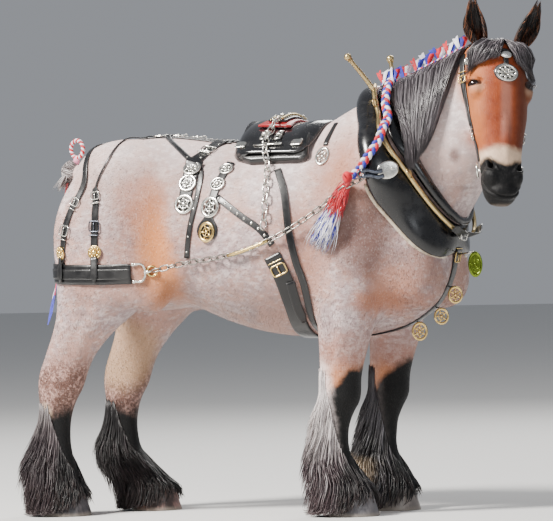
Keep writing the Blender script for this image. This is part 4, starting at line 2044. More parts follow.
def makeHames():
    for side, word in bothSides:
        line = []
        low, high = math.pi - 0.12, 0.30
        spots = 23
        for k in range(spots):
            angle = low - (low - high) * k / (spots - 1)
            line.append(collarPoint(-side * angle, hames["along"], 0.054))
        line = pushedOut(evenLine(line, 0.03), hames["rod"])
        free = [Vector((x, y * side, z)) for x, y, z in (hames["crook"], hames["bend"], hames["tip"])]
        line += evenLine([line[-1], *free], 0.02)[1:]
        swell = [0.8 + 0.35 * math.sin(math.pi * i / (len(line) - 1)) for i in range(len(line))]
        pieces = [tube("rod", line, [max(hames["rod"] * s, hames["thin"]) for s in swell], 12)]
        tip = free[-1]
        lean = (line[-1] - line[-3]).normalized()
        pieces.append(egg("ball", tip, (0.0145, 0.0145, 0.0145), None, 20))
        pieces.append(hoop("neck", tip - lean * 0.016, lean, 0.0085, 0.003, 20, 8))
        for share in (0.30, 0.62):
            spot = line[int(len(line) * share)]
            out = bare.tree.find_nearest(spot)[1]
            pieces.append(hoop("eye", spot + out * 0.012, Vector((1, 0, 0.3)), 0.017, 0.0035, 24, 8))
        cover.add(stand(joined("hame_rod_" + word, pieces, goldRod), "hame_" + word))
        place, out = onPlace(hames["plate"][0], hames["plate"][1] * side, hames["plate"][2])
        back = Vector((-0.88, 0, -0.22))
        back = (back - out * out.dot(back)).normalized()
        up = out.cross(back)
        heart = place + out * 0.006
        plate = [roundBox("plate", heart, back, up, out, 0.086, 0.068, 0.007, None, 1.0)]
        plate.append(hoop("edge", heart + out * 0.004, out, 0.036, 0.0028, 32, 8, None, 0.78, up))
        plate.append(egg("pin", heart + out * 0.008 - back * 0.016, (0.006, 0.006, 0.005), None, 14))
        tug = [heart + back * s + up * u + out * 0.004 for s, u in hames["tug"]]
        joined("hame_tug_" + word, [
            tube("upper", evenLine([p + up * 0.010 for p in tug], 0.008), 0.0088, 10),
            tube("lower", evenLine([p - up * 0.010 for p in tug], 0.008), 0.0088, 10),
            hoop("eye", tug[-1], out, 0.013, 0.0045, 24, 8),
        ], darkSteel)
        joined("hame_plate_" + word, plate, white)
    # the strap that draws the hames together below, and its buckle
    low = [collarPoint(math.pi + a, hames["along"], 0.060) for a in hames["strap"]]
    lowStrap = band("hame_strap", low, 0.024, 0.005, black, gap=0.004)
    buckle("hame_strap_buckle", lowStrap.at(0.32), 0.024, 0.036, white)


# The cart saddle

saddle = {
    "x": 0.318,
    # how far down it reaches on each side, its width, what the ends lose, and their shift
    "panel": (0.243, 1.358, 0.286, 0.0, 0.046),
    "skirt": (0.232, 1.370, 0.380, 0.075, 0.016),
    # the stuffing: at its ends, and more over the back, most of it at the rear edge
    "stuffing": (0.022, 0.016, 0.052),
    "skirtThick": 0.008,
}


def makeSaddle():
    middle = saddle["x"]

    def overBack(reach, low):
        return mirrored([(middle, -reach, low), (middle, -0.150, 1.420), (middle, 0.0, 1.445)])

    def ends(t):
        return abs(2 * t - 1) ** 1.5

    def rounded(t, full, taper, corner):
        near = min(t, 1 - t, corner) / corner
        return (full - taper * ends(t)) * (0.74 + 0.26 * math.sqrt(1 - (1 - near) ** 2))

    def stuffing(t, along):
        least, rise, rear = saddle["stuffing"]
        return least + (1 - ends(t)) * (rise + rear * (1 - along))

    reach, low, wide, taper, shift = saddle["panel"]
    panel = band(
        "saddle_pad", overBack(reach, low), lambda t: rounded(t, wide, taper, 0.06), stuffing,
        black, lanes=9, aside=lambda t: shift * ends(t), stiff=False, crown=0.06, calm=10,
    )
    stand(panel.piece, "saddle_panel")
    reach, low, broad, less, moved = saddle["skirt"]
    skirt = band(
        "saddle_flap", overBack(reach, low), lambda t: rounded(t, broad, less, 0.10), saddle["skirtThick"],
        patent, lanes=9, aside=lambda t: moved * ends(t), stiff=False, crown=0.05, reach=0.12, calm=10,
    )
    stand(skirt.piece, "saddle_skirt")
    # the tree: a low arch lined with red, with a channel for the ridge chain
    arch = mirrored([(middle, -0.130, 1.470), (middle, 0.0, 1.49)])
    lining = band(
        "saddle_lining", arch, lambda t: 0.105 + 0.03 * ends(t), 0.009, redLeather, crown=0.5, reach=0.12,
    )
    arch = mirrored([(middle, -0.100, 1.48), (middle, 0.0, 1.50)])
    seat = band("saddle_seat", arch, 0.070, 0.006, patent, crown=0.3, reach=0.12)
    channel = []
    for offset in (-0.024, 0.024):
        line = [p + side * offset + out * 0.002 for p, out, side, _ in seat.tops]
        channel.append(tube("lip", line, 0.0042, 8))
    joined("saddle_channel", channel, goldRod)
    stand(lining.piece, "saddle_bridge")

    def onSkirt(share, lateral):
        point, out, side, ahead = skirt.at(share)
        start = point + side * lateral
        height = cover.height(start - out * 0.05, out, 0.12) or 0.05
        return start + out * (height - 0.05), out, side, ahead

    for word, share, sign in (("right", 0.105, 1), ("left", 0.895, -1)):
        for lateral, name in ((-0.118, "rear"), (0.118, "front")):
            place, out, side, ahead = onSkirt(share, lateral)
            squareName = "saddle_square_%s_%s" % (name, word)
            roundBox(squareName, place, side, ahead, out, 0.046, 0.038, 0.0045, white, 0.25)
        for lift in (0.050, 0.085):
            for lateral in (-0.026, 0.034):
                place, out, side, ahead = onSkirt(share + sign * lift * 0.9, lateral)
                loop = oval(place + out * 0.005, side, ahead, 0.012, 0.016, 0.016, 4.0, 24)
                loopName = "saddle_keeper_%s_%d_%d" % (word, round(lift * 1000), round(lateral * 1000))
                tube(loopName, loop, 0.0034, 8, True, white)
        place, out, side, ahead = onSkirt(share - sign * 0.035, 0.0)
        bar = [place + side * s + out * 0.006 for s in (-0.060, -0.02, 0.02, 0.060)]
        tube("saddle_bar_" + word, bar, 0.0046, 10, False, white)


# Straps: each laid over what is there, from the guides that the solids share

straps = {
    "back": [
        (0.09, 0.0, 1.44), (-0.1, 0.0, 1.462), (-0.3, 0.0, 1.465), (-0.45, 0.0, 1.425), (-0.52, 0.0, 1.39),
    ],
    "quarter": [
        (0.014, -0.31, 0.997), (0.035, -0.32, 1.116), (0.057, -0.297, 1.238), (0.05, -0.25, 1.335),
        (-0.04, -0.195, 1.395), (-0.14, -0.11, 1.45), (-0.2, 0.0, 1.474),
    ],
    "loin": [(0.005, -0.235, 1.352), (0.032, -0.18, 1.395), (0.048, -0.1, 1.43), (0.052, 0.0, 1.44)],
    "breeching": [
        (-0.222, -0.326, 0.94), (-0.38, -0.333, 0.94), (-0.54, -0.28, 0.945), (-0.61, -0.15, 0.955),
        (-0.625, 0.0, 0.96),
    ],
    "hipFront": [
        (-0.371, -0.333, 0.985), (-0.378, -0.324, 1.048), (-0.373, -0.316, 1.21), (-0.373, -0.294, 1.287),
        (-0.318, -0.23, 1.385), (-0.27, 0.0, 1.474),
    ],
    "hipRear": [
        (-0.53, -0.3, 0.985), (-0.51, -0.318, 1.097), (-0.483, -0.3, 1.174), (-0.432, -0.27, 1.289),
        (-0.42, -0.15, 1.4), (-0.42, 0.0, 1.438),
    ],
    "girth": [
        (0.382, -0.255, 1.325), (0.428, -0.304, 1.236), (0.458, -0.334, 1.084), (0.482, -0.33, 0.97),
        (0.5, -0.29, 0.87), (0.495, -0.19, 0.73), (0.49, 0.0, 0.676),
    ],
    "belly": [
        (0.392, -0.35, 1.000), (0.425, -0.33, 0.92), (0.44, -0.27, 0.81), (0.425, -0.15, 0.715),
        (0.42, 0.0, 0.684),
    ],
    "bellyEnd": [(0.452, -0.318, 0.9), (0.458, -0.3, 0.85), (0.462, -0.276, 0.795), (0.47, -0.262, 0.735)],
    "breast": [
        (1.02, 0.0, 1.01), (0.998, 0.0, 0.92), (0.94, 0.0, 0.81), (0.82, 0.0, 0.725), (0.68, 0.0, 0.69),
        (0.54, 0.0, 0.676),
    ],
    "diagonal": [(0.15, -0.305, 1.225), (0.262, -0.341, 1.153), (0.341, -0.351, 1.102), (0.395, -0.35, 1.04)],
    "rearBrasses": [(0.022, -0.222, 1.362), (0.01, -0.273, 1.293), (0.001, -0.305, 1.18)],
    "frontBrasses": [
        (0.17, -0.225, 1.362), (0.146, -0.275, 1.293), (0.127, -0.312, 1.213), (0.112, -0.331, 1.07),
    ],
    "pendant": [(0.562, -0.105, 1.5), (0.552, -0.165, 1.44), (0.552, -0.215, 1.372)],
    "trace": [
        (-0.13, -0.32, 0.95), (0.000, -0.325, 0.975), (0.229, -0.372, 1.006), (0.366, -0.375, 1.048),
        (0.458, -0.36, 1.091), (0.573, -0.33, 1.165), (0.682, -0.33, 1.241), (0.79, -0.345, 1.292),
    ],
    "fork": [(-0.212, -0.328, 0.943), (-0.165, -0.322, 0.945), (-0.135, -0.316, 0.95)],
    "ridge": [
        (0.362, -0.352, 1.1), (0.363, -0.335, 1.192), (0.346, -0.265, 1.326), (0.325, -0.21, 1.4),
        (0.32, -0.11, 1.525), (0.32, 0.0, 1.54),
    ],
}


hips = {
    # guide, width above the buckles, metal of the keepers, and where the end hangs
    "hip_strap_front": ("hipFront", 0.0055, darkSteel, (-0.374, -0.336)),
    "hip_strap_rear": ("hipRear", 0.026, white, (-0.534, -0.306)),
}
brasses = {
    # share of the way along the strap, radius, metal, spokes, height as a share of the width
    "rear": [(0.16, 0.036, white, 8, 0.92), (0.50, 0.038, white, 5, 0.92), (0.86, 0.042, white, 6, 0.92)],
    "front": [
        (0.10, 0.030, white, 6, 0.85), (0.34, 0.032, white, 8, 0.90), (0.62, 0.041, white, 6, 1.0),
        (0.92, 0.036, brass, 5, 1.1),
    ],
    # the same, after how far each hangs from the breast strap
    "breast": [
        ((0.076, -0.020, -0.040), 0.03, 0.027, enamel, 5, 1.80),
        ((0.030, -0.014, -0.030), 0.24, 0.028, brass, 6, 1.20),
        ((0.026, -0.012, -0.034), 0.39, 0.028, brass, 5, 1.15),
        ((0.014, -0.012, -0.036), 0.53, 0.030, brass, 6, 1.20),
    ],
    "breastFacing": Vector((0.42, -0.90, 0.05)).normalized(),
}


def hangBrasses(name, laid, rows):
    for k, (share, *looks) in enumerate(rows):
        point, out, _, _ = laid.at(share)
        piercedBrass("%s_%d" % (name, k + 1), point, out, *looks)


def makeBackStraps():
    # the back strap is three straps side by side, studded
    for k, word in enumerate(("near", "middle", "far")):
        shift = 0.052 - 0.052 * k
        laid = band(
            "back_strap_" + word, straps["back"], 0.024, 0.0055, black, aside=lambda t: shift * (1 - 0.4 * t),
        )
        if word == "middle":
            stand(laid.piece, "back_strap")
        studs("back_studs_" + word, laid, np.linspace(0.06, 0.94, 9), 0.0046, white)
        buckle("back_buckle_" + word, laid.at(0.30 + 0.1 * k), 0.024, 0.034, white)
    quarter = band("quarter_strap_leather", mirrored(straps["quarter"]), 0.022, 0.0045, black)
    stand(quarter.piece, "quarter_strap")
    studs("quarter_studs", quarter, [*np.linspace(0.02, 0.30, 9), *np.linspace(0.70, 0.98, 9)], 0.0042, white)
    loin = band("loin_strap_leather", mirrored(straps["loin"]), 0.048, 0.0045, black)
    stand(loin.piece, "loin_strap")
    studs("loin_studs", loin, np.linspace(0.08, 0.92, 12), 0.0045, white, 0.012)
    buckle("loin_buckle_right", loin.at(0.20), 0.048, 0.036, white)
    buckle("loin_buckle_left", loin.at(0.80), 0.048, 0.036, white)


def makeBreeching():
    breech = band("breeching_leather", mirrored(straps["breeching"]), 0.078, 0.0070, black)
    stand(breech.piece, "breeching")
    band("breeching_layer", mirrored(straps["breeching"]), 0.040, 0.0035, black, gap=0.0002)
    wide, buckled = 0.028, 0.19
    for name, (guide, narrow, metal, (x, y)) in hips.items():
        laid = band(
            name + "_leather", mirrored(straps[guide]), lambda t: wide if min(t, 1 - t) < 0.21 else narrow,
            0.0045, black,
        )
        stand(laid.piece, name)
        for side, word in bothSides:
            high, low, end = (laid.at(t if side < 0 else 1 - t) for t in (buckled, buckled * 0.55, 0.006))
            buckle("%s_buckle_%s" % (name, word), high, wide, 0.030, white)
            buckle("%s_keeper_%s" % (name, word), low, 0.034, 0.040, metal)
            place, out = onPlace(*(end[0] + Vector((0, 0, 0.030))))
            rosette("%s_boss_%s" % (name, word), place, out, 0.027, brass, 9, 0.012)
        # the strap runs on down over the breeching and ends in a point
        for side, word in bothSides:
            tail = sided([(x, y, 1.010), (x + 0.004, y, 0.960), (x + 0.006, y, 0.912)], side)
            band("%s_end_%s" % (name, word), tail, pointed(wide, 0.8, 3.6), 0.0045, black)


def makeGirths():
    girth = band("girth_leather", mirrored(straps["girth"]), 0.028, 0.0050, black)
    stand(girth.piece, "girth")
    belly = band("belly_band_leather", mirrored(straps["belly"]), 0.068, 0.0065, black)
    stand(belly.piece, "belly_band")
    for share, word in ((0.055, "right"), (0.945, "left")):
        buckle("belly_buckle_" + word, belly.at(share), 0.050, 0.040, brass, 0.0036)
    for side, word in bothSides:
        band("belly_end_" + word, sided(straps["bellyEnd"], side), pointed(0.034, 0.85, 4), 0.0045, black)


def makeBreastStrap():
    breast = band("breast_strap_leather", straps["breast"], 0.040, 0.0050, black)
    stand(breast.piece, "breast_strap")
    buckle("breast_buckle", breast.at(0.05), 0.040, 0.040, brass)
    # the brasses hang from the breast strap, clear of the breast, and turn a little to the side
    facing = brasses["breastFacing"]
    for k, (moved, share, radius, metal, spokes, tall) in enumerate(brasses["breast"]):
        point, out, _, _ = breast.at(share)
        start = point + Vector(moved)
        piercedBrass("breast_brass_%d" % (k + 1), start, facing, radius, metal, spokes, tall)
        if metal == enamel:
            across, up = Vector((0.9, 0.42, 0)), Vector((0, 0, 1))
            roundBox("breast_disc", start, across, up, facing, 0.046, 0.086, 0.003, enamel, 1.0)
        held = [point + out * 0.002, start + Vector((0, 0, radius * tall * 0.95))]
        tube("breast_loop_%d" % (k + 1), held, 0.0034, 8, False, white)


def makeSideStraps(side, word):
    def frontWidth(t):
        return 0.036 if t < 0.75 else 0.036 + 0.060 * math.sin(math.pi * min(1, (t - 0.75) * 3.2))

    rear = band(
        "rear_hanger_" + word, sided(straps["rearBrasses"], side), lambda t: 0.070 - 0.020 * t, 0.0040, black,
    )
    stand(rear.piece, "rear_brasses_" + word)
    hangBrasses("rear_brass_" + word, rear, brasses["rear"])
    front = band("front_hanger_" + word, sided(straps["frontBrasses"], side), frontWidth, 0.0040, black)
    stand(front.piece, "front_brasses_" + word)
    hangBrasses("front_brass_" + word, front, brasses["front"])
    diagonal = band("diagonal_leather_" + word, sided(straps["diagonal"], side), 0.026, 0.0045, black)
    stand(diagonal.piece, "diagonal_strap_" + word)
    studs("diagonal_studs_" + word, diagonal, np.linspace(0.04, 0.96, 9), 0.0062, white)
    high, middle, low = sided(straps["pendant"], side)
    guide = [high, middle, Vector(middle) * 0.6 + Vector(low) * 0.4]
    pendant = band("pendant_leather_" + word, guide, 0.018, 0.0040, black)
    stand(pendant.piece, "saddle_pendant_" + word)
    place, out = onPlace(*low)
    piercedBrass("pendant_brass_" + word, place, out, 0.028, white, 5, 1.5)


def makeFork(side, word):
    # the fork at the end of the breeching, with its ring
    start, middle, end = (Vector(p) for p in sided(straps["fork"], side))
    out = bare.tree.find_nearest(middle)[1]
    prongs = []
    for high in (0.034, -0.034):
        spots = (
            start + Vector((0, 0, high)), start + Vector((0.038, 0, high)),
            middle + Vector((0.004, 0, high * 0.25)), middle,
        )
        line = [onPlace(*p)[0] + out * 0.006 for p in spots]
        prongs.append(tube("prong", evenLine(line, 0.008), 0.0052, 10))
        prongs.append(egg("end", line[0], (0.008, 0.008, 0.008), None, 12))
    shank = [onPlace(*middle)[0] + out * 0.006, onPlace(*end)[0] + out * 0.006]
    prongs.append(tube("shank", shank, 0.0062, 10))
    stand(joined("breeching_fork_metal_" + word, prongs, white), "breeching_fork_" + word)
    place, out = onPlace(*end)
    hoop("breeching_ring_" + word, place + out * 0.007, out, 0.019, 0.0042, 28, 10, brass)


def makeStraps():
    makeBackStraps()
    makeBreeching()
    makeGirths()
    makeBreastStrap()
    for side, word in bothSides:
        makeSideStraps(side, word)
        makeFork(side, word)


chains = {
    # length, width and wire of a link
    "link": (0.046, 0.027, 0.0062),
    "ridgeLink": (0.050, 0.032, 0.0072),
    # between these the trace is a hook
    "hook": (0.20, 0.40),
}


def makeChains():
    for side, word in bothSides:
        line = pushedOut(evenLine(sided(straps["trace"], side), 0.03), 0.0095)
        piece = chain("trace_links_" + word, line, *chains["link"], steel)
        stand(piece, "trace_chain_" + word)
        spots = [p for p in line if chains["hook"][0] < p.x < chains["hook"][1]]
        spots = [p + bare.tree.find_nearest(p)[1] * 0.006 for p in spots]
        tube("trace_hook_" + word, spots, 0.0068, 10, False, brass)
        cover.add(piece)
    line = pushedOut(evenLine(mirrored(straps["ridge"]), 0.03), 0.0105)
    # it sinks into the channel of the tree
    line = [p - Vector((0, 0, 0.014 * max(0, min(1, 1.6 - abs(p.y) / 0.08)))) for p in line]
    stand(chain("ridge_links", line, *chains["ridgeLink"], white), "ridge_chain")


# The bridle

bridle = {
    # left, down the face, out of it
    "cheek": [
        (0.098, 0.045, -0.145), (0.112, 0.085, -0.130), (0.125, 0.150, -0.118), (0.118, 0.250, -0.110),
        (0.106, 0.325, -0.100), (0.088, 0.410, -0.095), (0.078, 0.465, -0.095),
    ],
    "crown": [(0.088, 0.008, -0.152), (0.060, -0.040, -0.168), (0.000, -0.060, -0.176)],
    "brow": [(0.0, 0.045, 0.030), (0.0, 0.075, 0.030), (0.0, 0.110, 0.030)],
    "ring": (0.074, 0.500, -0.098),
    "browBand": (-0.105, -0.08, -0.04, 0.0, 0.04, 0.08, 0.105),
}


def headLine(guide, side=1):
    return [tuple(onHead(a * side, b, c)) for a, b, c in guide]


def makeBridle():
    crownGuide = headLine(bridle["crown"], -1) + headLine(bridle["crown"], 1)[-2::-1]
    crown = band("crown_leather", crownGuide, 0.026, 0.0045, black)
    stand(crown.piece, "bridle_crown")
    for side, word in bothSides:
        whole = headLine(bridle["cheek"], side)
        cheek = band("cheek_leather_" + word, whole, 0.023, 0.0045, black, step=0.008)
        stand(cheek.piece, "bridle_cheek_" + word)
        middle = headLine(bridle["cheek"][2:5], side)
        band("cheek_layer_" + word, middle, 0.014, 0.003, black, step=0.008, gap=0.0002)
        buckle("cheek_buckle_" + word, cheek.at(0.24), 0.024, 0.028, brass)
        buckle("cheek_low_buckle_" + word, cheek.at(0.78), 0.024, 0.026, white)
        place, out, _, _ = bare.tree.find_nearest(Vector(headLine([bridle["ring"]], side)[0]))
        ring = hoop("bit_" + word, place + out * 0.012, out, 0.026, 0.0048, 36, 10, white)
        stand(ring, "bit_ring_" + word)
        inner = onHead(0.045 * side, 0.508, -0.090)
        bar = evenLine([place + out * 0.008, (place + inner) / 2, inner], 0.01)
        tube("bit_bar_" + word, bar, 0.006, 10, False, white)
        place, out = onPlace(*onHead(0.100 * side, 0.070, -0.105))
        rosette("brow_rosette_" + word, place, out, 0.019, white, 8, 0.008)
    strap = band("face_leather", headLine(bridle["brow"]), 0.020, 0.0040, black, step=0.006)
    stand(strap.piece, "face_brass")
    turn = headTurn()
    place, out = onPlace(*onHead(0.0, 0.070, 0.030))
    side, down = turn.col[0], turn.col[1]
    roundBox("face_boss", place, side, -down, out, 0.046, 0.026, 0.008, white, 1.0)
    place, out = onPlace(*onHead(0.0, 0.142, 0.030))
    roundBox("face_disc_leather", place - out * 0.002, side, -down, out, 0.098, 0.074, 0.003, black, 1.0)
    piercedBrass("face_disc", place + out * 0.001, out, 0.045, white, 9, 0.78, -down)
    # the brow band, half hidden by the forelock
    guide = [onHead(x, 0.066 - abs(x) * 0.10, 0.010 - abs(x)) for x in bridle["browBand"]]
    band("brow_leather", guide, 0.022, 0.0035, black, step=0.008)


# Braid, tassel, flags and the dressing of the tail

dress = {
    "braid": [
        (0.785, -0.040, 1.640), (0.808, -0.130, 1.560), (0.828, -0.215, 1.480),
        (0.818, -0.270, 1.397), (0.772, -0.300, 1.324), (0.728, -0.310, 1.278),
    ],
    "tassel": [
        (0.730, -0.312, 1.280), (0.694, -0.315, 1.252), (0.655, -0.315, 1.180), (0.612, -0.315, 1.100),
        (0.566, -0.310, 1.015),
    ],
    # name, cloth, threads, first and last share of its length, and how far they spread
    "threads": [
        ("tassel_red", redCloth, 420, 0.0, 0.60, 0.036), ("tassel_white", whiteCloth, 190, 0.26, 1.0, 0.046),
        ("tassel_blue", blueCloth, 110, 0.26, 0.98, 0.044),
    ],
    "cloths": (redCloth, whiteCloth, blueCloth),
    "turns": 9.5,
    "cordTurns": 14,
    "flags": 8,
    "flagSize": (0.034, 0.064),
    "flagHeights": (1.0, 0.88, 0.94),
    "crest": (0.40, 0.90),
}


def heading(line, i):
    return (line[min(i + 1, len(line) - 1)] - line[max(i - 1, 0)]).normalized()


def makeBraid():
    line = pushedOut(evenLine(dress["braid"], 0.02), 0.015)
    for _ in range(2):
        line = [line[0], *((a + b * 2 + c) / 4 for a, b, c in zip(line, line[1:], line[2:])), line[-1]]
    line = evenLine(pushedOut(line, 0.015), 0.004)
    ways = [bare.tree.find_nearest(p)[1] for p in line]
    strands = []
    for k, material in enumerate(dress["cloths"]):
        path = []
        for i, (p, out) in enumerate(zip(line, ways)):
            across = heading(line, i).cross(out).normalized()
            phase = 2 * math.pi * (dress["turns"] * i / (len(line) - 1) + k / 3)
            path.append(p + across * 0.0095 * math.sin(phase) + out * (0.0055 * math.sin(2 * phase) + 0.001))
        strands.append(tube("braid_strand_%d" % (k + 1), path, 0.0078, 10, False, material))
    stand(strands[0], "braid")
    cover.add(*strands)
    egg("braid_knot", line[-1] + ways[-1] * 0.004, (0.020, 0.020, 0.024), None, 24, redCloth)


def makeTassel():
    # red wool first, then white and blue threads
    draw = np.random.default_rng(71)
    core = np.array([tuple(p) for p in evenLine(dress["tassel"], 0.03)])
    spots, outs = onCover(core[None], bare)
    spots, outs = spots[0] + outs[0] * 0.010, outs[0]
    stations = 7
    for name, material, count, first, last, spread in dress["threads"]:
        lines = np.zeros((count, stations, 3))
        facings = np.zeros((count, stations, 3))
        sideways = draw.normal(0, 0.42, count)
        lifted = draw.uniform(0.1, 1.0, count)
        ends = draw.uniform(0.70, 1.06, count)
        for j in range(stations):
            way = j / (stations - 1)
            t = np.clip(first + (last - first) * j / (stations - 1) * ends, 0, 1) * (len(spots) - 1)
            low = np.minimum(t.astype(int), len(spots) - 2)
            part = (t - low)[:, None]
            place = spots[low] * (1 - part) + spots[low + 1] * part
            out = outs[low]
            across = np.cross(spots[low + 1] - spots[low], out)
            across /= np.linalg.norm(across, axis=1, keepdims=True)
            fan = spread * (0.22 + 0.78 * min(1, way * 1.3))
            rise = 0.004 + 0.020 * lifted * math.sin(math.pi * (0.15 + 0.6 * way))
            lines[:, j] = place + across * (sideways * fan)[:, None] + out * rise[:, None]
            facings[:, j] = out
        lines += wavy(count, stations, 0.012, draw)
        piece = tufts(name, lines, taper(count, 0.0042, stations, draw), facings, material, draw)
        if material == redCloth:
            stand(piece, "braid_tassel")


def makeFlags():
    crest = evenLine(crestLine(), 0.01)
    first, last = (int(len(crest) * s) for s in dress["crest"])
    line = pushedOut([p + Vector((0, 0, 0.018)) for p in crest[first:last:2]], 0.008)
    line = evenLine(line, 0.008)
    strands = []
    for k, material in enumerate(dress["cloths"]):
        path = []
        for i, p in enumerate(line):
            phase = 2 * math.pi * (dress["cordTurns"] * i / (len(line) - 1) + k / 3)
            path.append(p + Vector((0, 0.0035 * math.sin(phase), 0.0035 * math.cos(phase) - 0.006)))
        strands.append(tube("crest_cord_%d" % (k + 1), path, 0.0036, 8, False, material))
    stand(strands[0], "crest_flights")
    ahead = (line[-1] - line[0]).normalized()
    up = Vector((0, 0, 1))
    wide, tall = dress["flagSize"]
    rows, columns = 9, 5
    for k in range(dress["flags"]):
        place = line[2 + k * (len(line) - 5) // (dress["flags"] - 1)]
        for j in range(3):
            # each flight is three ribbons, folded and fanned
            turn = Matrix.Rotation(math.radians(-30 + 20 * j + 8 * (k % 3)), 3, up)
            way = turn @ ahead
            lean = (up + ahead * (0.42 * (j - 1) + 0.12 * math.sin(2.3 * k))).normalized()
            out = way.cross(up)
            points = []
            for r in range(rows):
                t = r / (rows - 1)
                for c in range(columns):
                    u = c / (columns - 1) - 0.5
                    notch = 0.30 * abs(u) * 2 * t
                    bend = 0.004 * math.sin(3.1 * t + k + j) + 0.0035 * math.sin(6 * u + j) * t
                    aside = wide * u * (0.40 + 0.60 * t) + (j - 1) * 0.008
                    high = tall * (0.72 + 0.28 * notch) * t * dress["flagHeights"][j] - 0.004
                    points.append(place + way * aside + lean * high + out * bend)
            cloth = dress["cloths"][(k + j) % 3]
            flag = meshPiece("flag_%d_%d" % (k + 1, j + 1), points, gridFaces(rows, columns), cloth)


tailParts = {
    "root": Vector((-0.560, 0.0, 1.315)),
    "bun": Vector((-0.634, 0.0, 1.345)),
    "radii": (0.036, 0.038, 0.041),
    "ring": (Vector((-0.606, 0.0, 1.433)), 0.034, 0.0042),
    "ribbon": [
        (-0.020, 0, -0.044), (-0.030, 0, -0.120), (-0.040, 0, -0.250), (-0.055, 0, -0.390),
        (-0.075, 0, -0.500), (-0.100, 0, -0.600),
    ],
    "ribbonFacing": Vector((-0.75, -0.65, 0)),
    "seed": 81,
}


def ribbonStrip(name, line, width, material):
    points, columns = [], 5
    out = tailParts["ribbonFacing"]
    for i, p in enumerate(line):
        t = i / (len(line) - 1)
        across = heading(line, i).cross(out).normalized()
        for c in range(columns):
            u = c / (columns - 1) - 0.5
            points.append(p + across * width * u + out * (0.004 * math.sin(9 * t + 4 * u) * t))
    piece = meshPiece(name, points, gridFaces(len(line), columns), material)
    length = sum((b - a).length for a, b in zip(line, line[1:]))
    return piece


def makeBun():
    draw = np.random.default_rng(tailParts["seed"])
    root, bun, radii = tailParts["root"], tailParts["bun"], tailParts["radii"]
    dock = evenLine([root, root.lerp(bun, 0.6) + Vector((0, 0, 0.004)), bun], 0.01)
    tube("dock", dock, 0.033, 20, False, skinFinish)
    egg("bun_core", bun, tuple(r * 0.88 for r in radii), None, 32, tailHair)
    # hair drawn round the bun
    count, stations = 420, 9
    angle = draw.uniform(0, 6.28, count)
    tilt = draw.normal(0, 0.5, count)
    t = np.linspace(0, 1, stations)[None, :]
    sweep = angle[:, None] + t * draw.uniform(1.0, 2.0, (count, 1))
    high = np.sin(tilt)[:, None] + 0.15 * np.sin(6 * t)
    flat = np.sqrt(np.maximum(0, 1 - np.clip(high, -0.98, 0.98) ** 2))
    size = draw.uniform(0.94, 1.08, (count, 1))
    lines = np.stack([
        bun.x + radii[0] * flat * np.cos(sweep) * size, bun.y + radii[1] * flat * np.sin(sweep) * size,
        bun.z + radii[2] * high * size,
    ], axis=-1)
    widths = taper(count, 0.0052, stations, draw)
    tufts("bun_hair", lines, widths, lines - np.array(bun), tailHair, draw)
    # short ends left free below it
    count, stations = 260, 6
    angle = draw.uniform(-1.2, 1.2, count)
    c, s = np.cos(angle), np.sin(angle)
    way = np.stack([-0.55 * c, s * 0.6, np.full(count, -0.75)], axis=-1) + draw.normal(0, 0.12, (count, 3))
    start = np.array(bun) + np.stack([-0.4 * c, s, np.zeros(count)], axis=-1) * 0.024
    t = np.linspace(0, 1, stations)[None, :, None]
    length = draw.uniform(0.045, 0.080, (count, 1, 1))
    lines = start[:, None] + way[:, None] * t * length + np.array([0, 0, -0.012]) * t**2
    facings = np.repeat(np.stack([-c, s, np.full(count, 0.2)], axis=-1)[:, None], stations, 1)
    tufts("bun_ends", lines, taper(count, 0.0045, stations, draw), facings, tailHair, draw)


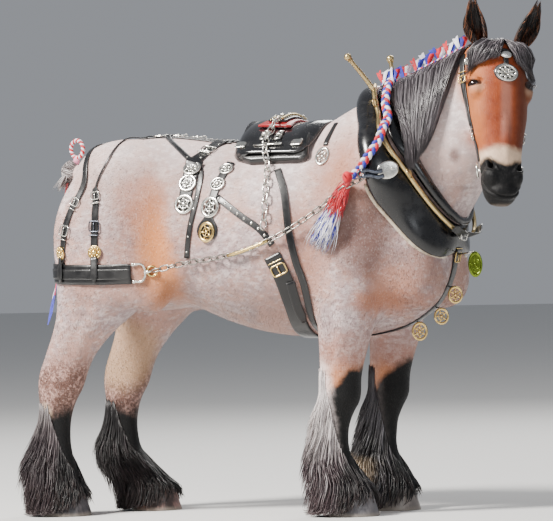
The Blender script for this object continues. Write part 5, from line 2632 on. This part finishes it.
def makeTailDress():
    # the twisted ring, red and white
    centre, radius, twisted = tailParts["ring"]
    facing = Vector((0.35, 1.0, 0.0)).normalized()
    side = facing.orthogonal().normalized()
    other = facing.cross(side)
    for k, (name, material) in enumerate((("tail_ring_red", redCloth), ("tail_ring_white", whiteCloth))):
        path, steps = [], 120
        for i in range(steps):
            a = 2 * math.pi * i / steps
            out = side * math.cos(a) + other * math.sin(a)
            twist = 11 * a + math.pi * k
            path.append(
                centre + out * (radius + twisted * math.cos(twist)) + facing * twisted * math.sin(twist)
            )
        piece = tube(name, path, 0.0044, 8, True, material)
        if k == 0:
            stand(piece, "tail_ring")
    egg("tail_knot", centre - Vector((0.004, 0, radius + 0.012)), (0.013, 0.013, 0.017), None, 20, pinkCloth)
    # ribbons: red from the bun, then white and blue below it
    full = evenLine([tailParts["bun"] + Vector(p) for p in tailParts["ribbon"]], 0.012)
    full = [p + Vector((-0.10, -0.30, 0)) * 0.09 * (i / len(full)) for i, p in enumerate(full)]
    cut = len(full)
    stand(ribbonStrip("tail_ribbon_red", full[: int(cut * 0.80)], 0.034, redCloth), "tail_ribbon")
    lower = [p + Vector((-0.003, 0.006, 0)) for p in full[int(cut * 0.62) :]]
    ribbonStrip("tail_ribbon_white", lower[: int(len(lower) * 0.75)], 0.030, whiteCloth)
    lower = [p + Vector((0.003, -0.006, 0)) for p in full[int(cut * 0.60) :]]
    ribbonStrip("tail_ribbon_blue", lower, 0.030, blueCloth)


tailTones = screen(110, 104, 104), screen(190, 184, 182), screen(66, 54, 54)
tailHair = strandFinish("tail_hair", *tailTones, 0.25, 0.5)
makeCollar()
makeHames()
makeMane()
makeSaddle()
makeStraps()
makeChains()
makeBridle()
makeForelock()
makeFlags()
makeBraid()
makeTassel()
makeBun()
makeTailDress()
print("harness on")


# The last stage: everything set down in the frame, and the solids that each piece stands for


def setDownAll():
    for piece in made:
        piece.data.transform(Matrix.Translation(setDown))
        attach(piece, "root")


flesh = [
    "torso", "neck", "head", "ear_left", "ear_right", "tail",
    "foreleg_left", "foreleg_right", "hindleg_left", "hindleg_right",
]
setDownAll()
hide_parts(*flesh)
for (kind, side), hoof in hooves.items():
    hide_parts(("hoof_front_" if kind == "foreleg" else "hoof_hind_") + ("right" if side < 0 else "left"))
for word, ball in eyePieces.items():
    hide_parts("eye_" + word)
for piece, nodes in stands.items():
    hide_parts(*nodes)

print("sizes written")
